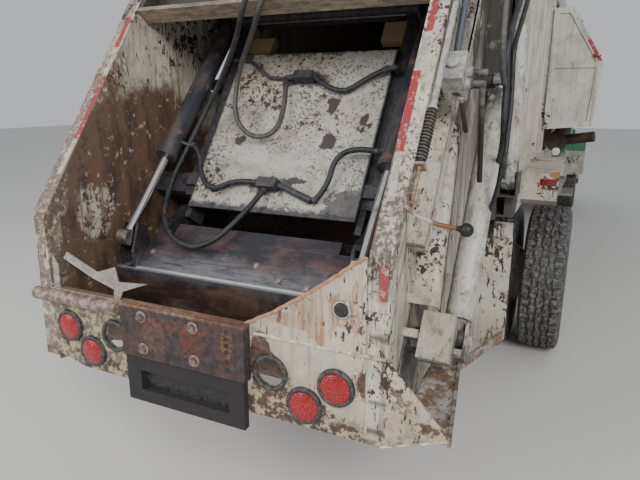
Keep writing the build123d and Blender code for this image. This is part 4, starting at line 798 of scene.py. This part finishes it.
def lathe(profile, centre, axis, steps=32, start=0.0, closeColumns=False):
    # A profile of (radius, along) points turned about an axis: point = centre + along times axis
    # + radius times (cosine times first + sine times second).
    profile = np.asarray(profile, float)
    axis = unit(axis)
    first = unit(np.cross(axis, (0.301, 0.0, 1.0) if abs(axis[2]) < 0.9 else (0.0, 1.0, 0.0)))
    second = np.cross(axis, first)
    angle = (start + np.arange(steps) / steps) * 2 * math.pi
    around = np.cos(angle)[:, None] * first + np.sin(angle)[:, None] * second
    points = np.array(centre) + profile[None, :, 1:] * axis + profile[None, :, :1] * around[:, None]
    return sheetOf(points, True, closeColumns)


def addPiece(name, body, finish, sheets, sharp=38.0):
    points, faces, start = [], [], 0
    for sheet in sheets:
        rows, columns = sheet["grid"].shape[:2]
        points.append(sheet["grid"].reshape(-1, 3))
        faces += (gridFaces(rows, columns, sheet["closeRows"], sheet["closeColumns"]) + start).tolist()
        if sheet["caps"]:
            last = start + (rows - 1) * columns
            faces += [list(range(start + columns - 1, start - 1, -1)), list(range(last, last + columns))]
        start += rows * columns
    mesh = bpy.data.meshes.new(name)
    mesh.from_pydata(np.concatenate(points).tolist(), [], faces)
    closeMesh(mesh, sharp)
    mesh.materials.append(finish)
    piece = addObject(name, mesh)
    if body:
        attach(piece, body)
    return piece


def closeMesh(mesh, sharp):  # seams and poles closed, faces outwards
    work = bmesh.new()
    work.from_mesh(mesh)
    bmesh.ops.remove_doubles(work, verts=work.verts, dist=1e-6)
    bmesh.ops.recalc_face_normals(work, faces=work.faces)
    work.to_mesh(mesh)
    work.free()
    mesh.polygons.foreach_set("use_smooth", [True] * len(mesh.polygons))
    mesh.set_sharp_from_angle(angle=math.radians(sharp))


def hexBolt(centre, axis, size, turn=0.0):  # washer and six-sided head, from a seat on the surface
    washer = [(0, -0.0005), (size * 1.25, -0.0005), (size * 1.25, size * 0.16), (0, size * 0.16)]
    head = np.array([(0, 0.1), (1, 0.1), (1, 0.68), (0.82, 0.8), (0, 0.8)]) * size
    return [lathe(washer, centre, axis, 16), lathe(head, centre, axis, 6, turn)]


def screws(places, axis, size):
    return [sheet for number, centre in enumerate(places)
            for sheet in hexBolt(centre, axis, size, number * 0.13)]


# Hoses. The routes are the ones of the part's source, as slide points in metres.
hoseSettings = {
    "hose_long": {
        "points": [(-.03, .9, .522), (-.04, .85, .605), (-.065, .7, .615), (-.19, .66, .43),
                   (-.37, .56, .235), (-.49, .31, .15), (-.515, .09, .152), (-.44, -.14, .19),
                   (-.235, -.245, .197), (-.085, -.13, .187), (-.033, .097, .121)],
        "length": 2.07, "bodies": ("tailgate", "carriage"), "from": (-.04, .85, .6), "to": (-.3, .35, .16)},
    "hose_wrapped": {
        "points": [(.045, .9, .522), (.04, .85, .605), (.02, .695, .615), (-.13, .69, .42),
                   (-.275, .63, .25), (-.275, .43, .17), (-.13, .33, .15), (-.015, .42, .14),
                   (-.085, .655, .125)],
        "length": 1.38, "bodies": ("tailgate", "carriage"), "from": (.04, .85, .6), "to": (.04, .66, .16)},
    "hose_upper": {
        "points": [(.064, .693, .125), (.2, .585, .125), (.33, .7, .125), (.385, .722, .13)],
        "length": 0.37, "bodies": ("carriage",)},
    "hose_lower_left": {
        "points": [(-.062, .135, .125), (-.17, .15, .125), (-.3, .075, .125), (-.39, .17, .13),
                   (-.405, .245, .14), (-.455, .29, .15)],
        "length": 0.5, "bodies": ("carriage", "blade_cylinders"), "from": (-.2, .13, .125),
        "to": (-.44, .28, .15)},
    "hose_lower_right": {
        "points": [(.228, .084, .118), (.268, .138, .124), (.275, .27, .145), (.36, .315, .155),
                   (.455, .3, .16)],
        "length": 0.376, "bodies": ("carriage", "blade_cylinders"), "from": (.26, .16, .125),
        "to": (.44, .3, .16)},
    # Supply hoses on the tailgate's right side, which only this script makes
    "hose_valve": {
        "points": [(.787, .482, .47), (.787, .56, .49), (.792, .68, .525), (.79, .86, .545),
                   (.775, 1.03, .545), (.748, 1.13, .535)],
        "length": 0.66, "radius": 0.0125},
    "hose_bundle_black": {
        "points": [(.69, 1.52, .12), (.78, 1.48, .14), (.905, 1.34, .15), (.925, 1.11, .18),
                   (.928, .8, .31), (.93, .62, .37), (.934, .54, .27), (.936, .44, .225),
                   (.935, .38, .11), (.903, .4, -.06)],
        "length": 1.546, "radius": 0.011},
    "hose_bundle_grey": {
        "points": [(.69, 1.12, .36), (.775, 1.01, .42), (.905, .87, .5), (.925, .72, .52),
                   (.93, .57, .47), (.93, .5, .35), (.93, .55, .22), (.927, .6, .1),
                   (.916, .56, 0.0), (.903, .48, -.065)],
        "length": 1.256, "radius": 0.01},
    "hose_bundle_thin": {
        "points": [(.69, 1.48, .17), (.775, 1.44, .19), (.915, 1.3, .2), (.957, 1.09, .2),
                   (.95, .83, .265), (.945, .65, .325), (.95, .56, .235), (.955, .45, .19),
                   (.95, .25, .1), (.903, .18, -.06)],
        "length": 1.572, "radius": 0.009},
}
hoseLook = {"bodies": ("tailgate",), "radius": 0.012, "sides": 14, "step": 0.006, "resolution": 16,
            "wrapPitch": 0.011, "wrapStep": 0.0022, "wrapDepth": 0.0011}


def routeOf(points):  # the points of the route's smooth NURBS line
    curve = bpy.data.curves.new("route", "CURVE")
    curve.dimensions = "3D"
    curve.resolution_u = hoseLook["resolution"]
    spline = curve.splines.new("NURBS")
    spline.points.add(len(points) - 1)
    for knot, point in zip(spline.points, points):
        knot.co = (*onSlide(*point), 1)
    spline.order_u = 3
    spline.use_endpoint_u = True
    holder = bpy.data.objects.new("route", curve)
    mesh = bpy.data.meshes.new_from_object(holder)
    line = np.array([vertex.co for vertex in mesh.vertices])
    bpy.data.objects.remove(holder)
    bpy.data.curves.remove(curve)
    bpy.data.meshes.remove(mesh)
    return line


def evenly(line, step):  # the line again, at even steps along its length
    along = np.concatenate([[0], np.cumsum(np.linalg.norm(np.diff(line, axis=0), axis=1))])
    wanted = np.linspace(0, along[-1], int(along[-1] / step) + 1)
    return np.stack([np.interp(wanted, along, line[:, axis]) for axis in range(3)], -1), wanted


def addHose(name, settings, finish):
    wrapped = name == "hose_wrapped"
    size = settings.get("radius", hoseLook["radius"])
    line, along = evenly(routeOf(settings["points"]), hoseLook["wrapStep" if wrapped else "step"])
    angle = np.arange(hoseLook["sides"]) / hoseLook["sides"] * 2 * math.pi
    radius = np.full((len(line), hoseLook["sides"]), size)
    if wrapped:
        # Spiral guard: the radius falls back with the cosine of the way along less the angle round
        wave = np.cos(along[:, None] / hoseLook["wrapPitch"] * 2 * math.pi - angle[None, :])
        radius -= hoseLook["wrapDepth"] * (1 - wave) / 2
    section = np.stack([radius * np.cos(angle), radius * np.sin(angle)], -1)
    bodies = settings.get("bodies", hoseLook["bodies"])
    piece = addPiece("rubber_" + name, bodies[0] if len(bodies) == 1 else None, finish,
                     [tube(line, section)], 60.0)
    if len(bodies) == 2:
        tuple(onSlide(*settings["from"]))
        tuple(onSlide(*settings["to"]))
        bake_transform(piece)
    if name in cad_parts:
        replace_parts(piece, name)
    2 * size


blackHose = rubberFinish("blackHose", (0.01, 0.011, 0.014), (0.07, 0.068, 0.07), 0.5)
wrapHose = rubberFinish("wrapHose", (0.05, 0.046, 0.044), (0.12, 0.105, 0.09), 0.8, 45.0)
blueHose = rubberFinish("blueHose", (0.045, 0.058, 0.08), (0.13, 0.13, 0.14), 0.5)
hoseFinishes = {"hose_wrapped": wrapHose, "hose_valve": blueHose, "hose_bundle_grey": wrapHose}
for name, settings in hoseSettings.items():
    addHose(name, settings, hoseFinishes.get(name, blackHose))
print("hoses ready")

lampSettings = {
    "lit": ((-0.585, 0.908), (-0.472, 0.818), (0.472, 0.818), (0.585, 0.908)),
    "lost": ((-0.345, 0.908), (0.345, 0.908)),
    "ringOuter": 0.066,
    "ringInner": 0.05,
    "ringDepth": 0.0145,
    "lensHeight": 0.0205,
    "lensFoot": 0.049,
    "lensFall": 0.42,
    "lensPower": 2.2,
    "lensRings": 7,
    "lensWave": 0.0006,
}
lampRubber = rubberFinish("lampRubber", (0.02, 0.021, 0.023), (0.13, 0.12, 0.11), 0.75, 60.0)
lampRed = lensFinish("lampRed", (0.62, 0.02, 0.014), (0.2, 0.004, 0.005))


def ringProfile(settings):  # rubber grommet: chamfered foot, rounded crown, inner lip
    outer, inner, depth = settings["ringOuter"], settings["ringInner"], settings["ringDepth"]
    middle = (outer + inner) / 2
    crown = [(middle + (outer - middle) * 0.86 * math.cos(a), depth * (0.62 + 0.38 * math.sin(a)))
             for a in np.linspace(0.1, math.pi - 0.1, 9)]
    return [(inner, 0.0), (outer - 0.001, 0.0), (outer, 0.002), (outer - 0.001, depth * 0.45)] + crown + [
        (inner + 0.001, depth * 0.5), (inner - 0.0015, depth * 0.45)]


def lensProfile(settings):
    # Shallow dome with fine rings: the height falls with a power of the radius, plus a cosine of it
    radius = np.linspace(0, settings["ringInner"] + 0.001, settings["lensRings"] * 4 + 1)
    share = radius / radius[-1]
    height = settings["lensHeight"] * (1 - settings["lensFall"] * share ** settings["lensPower"])
    height += settings["lensWave"] * np.cos(share * settings["lensRings"] * 2 * math.pi)
    height = np.minimum(height, settings["lensHeight"] + settings["lensWave"])
    return [(0.0, 0.0005), (settings["lensFoot"], 0.0005)] + list(zip(radius, height))[::-1]


def addLamps(settings):
    rings = [lathe(ringProfile(settings), place(x, 0, height), rearwards, 48, 0, True)
             for x, height in settings["lit"] + settings["lost"]]
    lenses = [lathe(lensProfile(settings), place(x, 0, height), rearwards, 48)
              for x, height in settings["lit"]]
    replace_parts(addPiece("lamp_rings", "tailgate", lampRubber, rings), "tail_lamps")
    addPiece("lamp_lenses", "tailgate", lampRed, lenses)


addLamps(lampSettings)
print("lamps ready")

wheelSettings = {
    "tyreRadius": 0.52,
    "rimRadius": 0.29,
    "tyreWidth": 0.28,
    "steps": 288,
    "sidewall": [(0.045, -0.002), (0.03, 0.004), (0.024, 0.022), (0.01, 0.06), (0.002, 0.095), (0.004, 0.099),
                 (0, 0.13), (0.0035, 0.172), (0.012, 0.205)],  # (in from the tyre's side, out from the rim)
    "shoulder": 0.026,
    "crown": 0.0035,
    "grooves": (-0.066, -0.022, 0.022, 0.066),
    "grooveDepth": 0.013,
    "grooveHalves": (0.0045, 0.0062),  # at its floor and at its mouth
    "treadEdge": 0.034,
    "zigzag": 0.0045,
    "zigzagEvery": 12,
    "lugEvery": 6,
    "notchDepth": 0.01,
    "front": {"axleY": 3.83, "middles": [1.03], "nutSeat": 1.1449},
    "rear": {"axleY": -1.91, "middles": [1.06, 0.72], "nutSeat": 0.9019},
    "nutCircle": 0.132,
    "nuts": 10,
    "nutSize": 0.016,
}
tyreRubber = rubberFinish("tyreRubber", (0.026, 0.026, 0.027), (0.2, 0.19, 0.18), 0.9, 46.0)
rimPaint = weatheredPaint("rimPaint", base=(0.46, 0.44, 0.4), chipLevel=0.62, soilAmount=0.75)


def tyre(centre, settings):
    # Section from bead to bead as (across, radius), turned about the axle. Four zigzag grooves run round the
    # tread, and notches cut its shoulders: each lowers the radius by its depth.
    half = settings["tyreWidth"] / 2
    outer = settings["tyreRadius"]
    tread = half - settings["shoulder"]
    side = [(inset - half, settings["rimRadius"] + rise) for inset, rise in settings["sidewall"]]
    floor, mouth = settings["grooveHalves"]
    edges = [-tread, -tread + settings["treadEdge"]]
    for middle in settings["grooves"]:
        edges += [middle - mouth, middle - floor, middle + floor, middle + mouth]
    edges += [tread - settings["treadEdge"], tread]
    crown = [(edge, outer - settings["crown"] * (edge / tread) ** 2) for edge in edges]
    profile = np.array(side + crown + [(-x, r) for x, r in side[::-1]])
    steps = np.arange(settings["steps"])
    across = np.repeat(profile[None, :, 0], len(steps), 0)
    radius = np.repeat(profile[None, :, 1], len(steps), 0)
    zigzag = settings["zigzag"] * np.sign(np.sin(steps * 2 * math.pi / settings["zigzagEvery"] + 0.01))
    for number in range(len(settings["grooves"])):
        start = len(side) + 2 + 4 * number
        radius[:, start + 1:start + 3] -= settings["grooveDepth"]
        across[:, start:start + 4] += zigzag[:, None] * (-1) ** number
    notch = steps % settings["lugEvery"] < 2
    shoulder = np.arange(len(side) - 1, len(side) + 2)
    radius[np.ix_(notch, [*shoulder, *(len(profile) - 1 - shoulder)])] -= settings["notchDepth"]
    angle = steps / settings["steps"] * 2 * math.pi
    points = np.stack([centre[0] + across, centre[1] + radius * np.cos(angle)[:, None],
                       centre[2] + radius * np.sin(angle)[:, None]], -1)
    return sheetOf(points, True)


def addRim(name, body, axleY, settings):  # the CAD wheel's own rim, without its plain tyre
    work = bmesh.new()
    work.from_mesh(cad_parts[body].data)
    bmesh.ops.remove_doubles(work, verts=work.verts, dist=1e-6)
    limit = settings["rimRadius"] + 0.005
    grow = {v for v in work.verts if math.hypot(v.co.y - axleY, v.co.z - settings["tyreRadius"]) > limit}
    tyreVerts = set(grow)
    while grow:  # spread from the tyre's outer points along its edges
        grow = {edge.other_vert(v) for v in grow for edge in v.link_edges} - tyreVerts
        tyreVerts |= grow
    bmesh.ops.delete(work, geom=list(tyreVerts), context="VERTS")
    mesh = bpy.data.meshes.new(name)
    work.to_mesh(mesh)
    work.free()
    mesh.materials.append(rimPaint)
    piece = addObject(name, mesh)
    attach(piece, body)


def addWheels(settings):
    ring = (np.arange(settings["nuts"]) + 0.5) / settings["nuts"] * 2 * math.pi
    for side, sign in (("left", -1), ("right", 1)):
        for end, bodyStart in (("front", "front_wheel_"), ("rear", "rear_wheels_")):
            layout = settings[end]
            body = bodyStart + side
            tyres = [tyre((sign * middle, layout["axleY"], settings["tyreRadius"]), settings)
                     for middle in layout["middles"]]
            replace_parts(addPiece(f"tyres_{end}_{side}", body, tyreRubber, tyres, 30.0), body)
            addRim(f"rims_{end}_{side}", body, layout["axleY"], settings)
            nuts = [(sign * layout["nutSeat"], layout["axleY"] + settings["nutCircle"] * math.cos(a),
                     settings["tyreRadius"] + settings["nutCircle"] * math.sin(a)) for a in ring]
            addPiece(f"nuts_{end}_{side}", body, nutSteel,
                     screws(nuts, sign * outwards, settings["nutSize"]))


nutSteel = plainFinish("nutSteel", (0.24, 0.2, 0.17), (0.11, 0.07, 0.045), 60, 0.55, 0.6, 0.3)
addWheels(wheelSettings)
print("wheels ready")

# Strips lie 0.2 mm into what carries them, and are given by their ends, width, and the way they face.
tapeSettings = {
    "thickness": 0.0012,
    "red": [((.6925, .372, .564), (.696, .068, .564), .027, "slide"),
            ((.702, .7, .564), (.701, .535, .564), .024, "slide")],
    "silver": [((.696, .062, .564), (.705, -.105, .564), .024, "slide"),
               ((.699, .53, .564), (.693, .38, .564), .024, "slide")],
    "lowRed": ((.732, 0, 1.325), (.733, 0, 1.222), .027, "rear"),
    "bins_red": [((1.165, 3.686, 2.24), (1.266, 3.686, 2.073), .026, "rear")],
    "bins_silver": [((1.062, 3.686, 2.41), (1.164, 3.686, 2.242), .026, "rear")],
}
redTape = tapeFinish("redTape", (0.3, 0.04, 0.045), (0.36, 0.27, 0.22))
silverTape = tapeFinish("silverTape", (0.46, 0.45, 0.43), (0.3, 0.27, 0.22), 0.46)
springSteel = plainFinish("springSteel", (0.15, 0.13, 0.115), (0.035, 0.031, 0.029), 60, 0.5, 0.6, 0.3)


def strip(start, end, width, facing, thickness, mirror):
    # A thin bar with a slight ripple off the surface: seat plus a sine of the way along
    if facing == "slide":
        start, end, out = onSlide(*start), onSlide(*end), slideOut
    else:
        start, end, out = np.array(place(*start)), np.array(place(*end)), rearwards
    share = np.linspace(0, 1, 24)[:, None]
    path = start + (end - start) * share + out * (thickness * 0.3 + 0.0002 * np.sin(share * 19))
    sheet = tube(path, boxSection(width, thickness), out)
    if mirror:
        sheet["grid"] = sheet["grid"] * (-1, 1, 1)
    return sheet


def addTapes(settings):
    for name, body, slotName, finish in (("red", "tailgate", "lamp_red", redTape),
                                         ("silver", "tailgate", "lamp_clear", silverTape),
                                         ("bins_red", "chassis", "lamp_red", redTape),
                                         ("bins_silver", "chassis", "lamp_clear", silverTape)):
        strips = [strip(*bar, settings["thickness"], mirror)
                  for bar in settings[name] for mirror in (False, True)]
        if name == "red":  # one more below, on the right only
            strips.append(strip(*settings["lowRed"], settings["thickness"], False))
        addPiece("tape_" + name, body, finish, strips)


addTapes(tapeSettings)

trimSettings = {
    "lip": [(0.6745, 1.348), (0.56, 1.262), (0.47, 1.197), (0.36, 1.124), (0.238, 1.059)],
    "wing": [(0.735, 0.7365), (0.942, 0.8165)],
    "fold": [(0.285, 1.036), (0.52, 1.0345), (0.748, 1.035)],
    "foldRadius": 0.0065,
    "dent": 0.0016,
    "knob": (0.602, 1.175),
    "bracketBolts": [(-0.17, 1.03), (0.06, 1.03), (-0.17, 0.905), (0.06, 0.905)],
    "bracketDepth": 0.04,
    "flangeHoles": [1.038, 1.014, 0.99, 0.966, 0.93, 0.9],
    "flangeX": 0.197,
    "bladeBolts": [(0.072, -0.11), (0.194, -0.147), (0.322, -0.156), (-0.463, -0.113)],
    "bladeFold": ((-0.18, -0.025), (-0.34, -0.174)),
    # Turned profiles, as (radius, rise off the seat)
    "knobRing": [(0, 0), (0.031, 0), (0.032, 0.003), (0.029, 0.0065), (0.024, 0.007), (0.022, 0.004),
                 (0, 0.004)],
    "knobCap": [(0, 0.003), (0.0225, 0.003), (0.0225, 0.01), (0.02, 0.0135), (0.012, 0.0155), (0, 0.016)],
    "washer": [(0, -0.0005), (0.0215, -0.0005), (0.0225, 0.0015), (0.0205, 0.0036), (0, 0.0036)],
    "hole": [(0, -0.0004), (0.0085, -0.0004), (0.0085, 0.0012), (0.006, 0.0012), (0.0055, 0.0003),
             (0, 0.0003)],
}
lipRust = plainFinish("lipRust", (0.3, 0.15, 0.065), (0.44, 0.3, 0.18), 40, 0.85, 0.0, 0.8)
foldBright = plainFinish("foldBright", (0.62, 0.58, 0.48), (0.22, 0.14, 0.09), 26, 0.5, 0.0, 0.6)
boltSteel = plainFinish("boltSteel", (0.34, 0.27, 0.24), (0.14, 0.09, 0.07), 70, 0.55, 0.5, 0.3)
blackCap = rubberFinish("blackCap", (0.012, 0.012, 0.013), (0.06, 0.055, 0.05), 0.5, 60.0)
chromeRing = plainFinish("chromeRing", (0.66, 0.66, 0.66), (0.36, 0.33, 0.3), 50, 0.22, 1.0, 0.05)


def wavyPath(points, count, seed):  # a drawn line through the points, with small dents along it
    points = np.array([place(x, 0.002, height) for x, height in points])
    line = evenly(points, np.linalg.norm(np.diff(points, axis=0), axis=1).sum() / count)[0]
    dents = np.random.default_rng(seed).normal(0, 1, (len(line), 3))
    dents = np.stack([np.convolve(d, np.ones(5) / 5, "same") for d in dents.T], -1)
    return line + dents * trimSettings["dent"]


def addTrim(settings):
    bead = ringSection(settings["foldRadius"], 8)
    lip = tube(wavyPath(settings["lip"], 110, 3), bead, rearwards)
    wing = tube(wavyPath(settings["wing"], 40, 5), boxSection(0.007, 0.008), rearwards)
    fold = tube(wavyPath(settings["fold"], 60, 8), bead, rearwards)
    addPiece("gusset_lip", "tailgate", lipRust, [lip])
    addPiece("panel_folds", "tailgate", foldBright, [wing, fold])

    holes = [(settings["flangeX"], height) for height in settings["flangeHoles"]]
    plate = -settings["bracketDepth"]
    for name, slotName, finish, profile, places, station, steps in (
            ("knob_ring", "bright_trim", chromeRing, "knobRing", [settings["knob"]], 0, 40),
            ("knob_cap", "hose_rubber", blackCap, "knobCap", [settings["knob"]], 0, 32),
            ("bracket_washers", "rust_dark", boltSteel, "washer", settings["bracketBolts"], plate, 24),
            ("flange_holes", "rust_dark", blackCap, "hole", holes, plate, 20)):
        turned = [lathe(settings[profile], place(x, station, height), rearwards, steps)
                  for x, height in places]
        addPiece(name, "tailgate", finish, turned)
    # The blade's bolts stand on its folded face, a line from high to low
    high, low = [np.array(place(0, pivotStation + d, pivotHeight + z)) for d, z in settings["bladeFold"]]
    down = unit(low - high)
    out = unit(np.cross(outwards, low - high))
    out = out if out[1] < 0 else -out
    face = [high + x * outwards + down * (pivotHeight + z - high[2]) / down[2]
            for x, z in settings["bladeBolts"]]
    addPiece("blade_bolts", "packer_blade", boltSteel, screws(face, out, 0.0115))


addTrim(trimSettings)

springSettings = {"line": (0.766, 0.548), "from": 0.05, "to": 0.228, "radius": 0.0158, "wire": 0.0034,
                  "turns": 15}


def addSpring(settings):
    # Helix about the linkage: the angle grows with the way along
    share = np.linspace(0, 1, settings["turns"] * 16)[:, None]
    angle = share * settings["turns"] * 2 * math.pi
    x, out = settings["line"]
    up = settings["from"] + (settings["to"] - settings["from"]) * share
    path = (onSlide(x, 0, out) + up * slideUp
            + settings["radius"] * (np.cos(angle) * outwards + np.sin(angle) * slideOut))
    addPiece("guard_spring", "tailgate", springSteel,
             [tube(path, ringSection(settings["wire"], 6), slideUp)])


addSpring(springSettings)
print("trim ready")

fittingSettings = {
    "reflectors": [(-1.043, 2.2, 1.288), (1.043, 2.2, 1.288)],
    "markers": [(1.235, 3.686, 2.115), (-1.235, 3.686, 2.115)],
    "reflectorPad": (0.098, 0.04, 0.008, 0.008),  # width, height, depth and corner
    "markerPad": (0.06, 0.024, 0.014, 0.01),
    "workLamp": (1.02, 3.33, 1.376),
    "workLampRadius": 0.036,
    "workLampFoot": 1.333,
    # Profiles as (share of the radius, rise off the lens's seat)
    "shell": [(0, -0.045), (0.45, -0.043), (0.85, -0.025), (1, 0), (1, 0.008), (0.9, 0.009), (0.88, 0.002),
              (0, 0.002)],
    "lens": [(0, 0.0015), (0.87, 0.0015), (0.86, 0.006), (0.5, 0.01), (0, 0.0115)],
    "linerSpan": (-0.235, 0.215),
    "linerHeight": 0.765,
    "linerTall": 0.17,
}
clearLens = lensFinish("clearLens", (0.8, 0.8, 0.78), (0.5, 0.5, 0.5), 150.0)
redLens = lensFinish("redLens", (0.36, 0.006, 0.007), (0.15, 0.002, 0.003), 260.0)


def pad(centre, axis, width, height, depth, corner):
    # Low moulded pad: a rectangle with round corners, drawn in as it rises off its seat
    outline = []
    for quarter, (sx, sy) in enumerate(((1, 1), (-1, 1), (-1, -1), (1, -1))):
        angle = (quarter + np.linspace(0, 1, 6)) * math.pi / 2
        outline.append(np.stack([sx * (width / 2 - corner) + corner * np.cos(angle),
                                 sy * (height / 2 - corner) + corner * np.sin(angle)], -1))
    section = np.concatenate(outline) * np.array([1, 1, 0.94, 0.8])[:, None, None]
    rise = np.array([-0.0006, depth * 0.55, depth * 0.9, depth])[:, None, None]
    side = unit(np.cross(upwards, axis))
    normal = np.cross(axis, side)
    points = np.array(centre) + rise * axis + section[..., :1] * side + section[..., 1:] * normal
    return sheetOf(points, caps=True)


def addFittings(settings):
    for name, key in (("fender_reflectors", "reflector"), ("bin_markers", "marker")):
        addPiece(name, "chassis", redLens,
                 [pad(place(*spot), rearwards, *settings[key + "Pad"]) for spot in settings[key + "s"]])
    # Black plate that closes the bracket's lower frame, painted shade so its opening looks dark
    liner = [place(x, 0.0, settings["linerHeight"]) for x in settings["linerSpan"]]
    addPiece("bracket_shade_plate", "tailgate", blackCap,
             [tube(liner, boxSection(0.004, settings["linerTall"]), upwards)])
    # Round work lamp on its foot on top of the right fender
    x, station, height = settings["workLamp"]
    radius = settings["workLampRadius"]
    shell, lens = [lathe([(share * radius, rise) for share, rise in settings[key]], place(x, station, height),
                         rearwards, 32) for key in ("shell", "lens")]
    foot = np.linspace(place(x, station + 0.02, settings["workLampFoot"]),
                       place(x, station + 0.02, height - radius / 2), 8)
    addPiece("work_lamp", "chassis", blackCap, [shell, tube(foot, ringSection(0.008, 10))])
    addPiece("work_lamp_lens", "chassis", clearLens, [lens])


addFittings(fittingSettings)
print("fittings ready")

stageSettings = {
    "floorSize": 60.0,
    "floorColour": (0.62, 0.61, 0.59),
    "sky": (0.93, 0.96, 1.0, 1),
    "skyStrength": 0.6,
    "lights": {  # place, aim, size and power
        "keyLight": ((5.5, -11.0, 6.5), (0.3, -4.4, 1.2), 4.0, 860.0),
        "fillLight": ((-5.0, -10.0, 5.0), (0.0, -4.0, 1.2), 5.0, 420.0),
    },
}


def addStage(settings):
    half = settings["floorSize"] / 2
    mesh = bpy.data.meshes.new("floor")
    corners = [(-half, -half, 0), (half, -half, 0), (half, half, 0), (-half, half, 0)]
    mesh.from_pydata(corners, [], [(0, 1, 2, 3)])
    mesh.materials.append(Coat("floorPaint", 0.9, 0.0, settings["floorColour"]).material)
    addObject("floor", mesh)
    world = bpy.data.worlds.new("softSky")
    world.use_nodes = True
    background = world.node_tree.nodes["Background"]
    background.inputs["Color"].default_value = settings["sky"]
    background.inputs["Strength"].default_value = settings["skyStrength"]
    bpy.context.scene.world = world
    for name, (spot, aim, size, power) in settings["lights"].items():
        data = bpy.data.lights.new(name, "AREA")
        data.size = size
        data.energy = power
        lamp = addObject(name, data)
        lamp.location = spot
        lamp.rotation_euler = (Vector(aim) - Vector(spot)).to_track_quat("-Z", "Y").to_euler()


addStage(stageSettings)
print("stage ready")
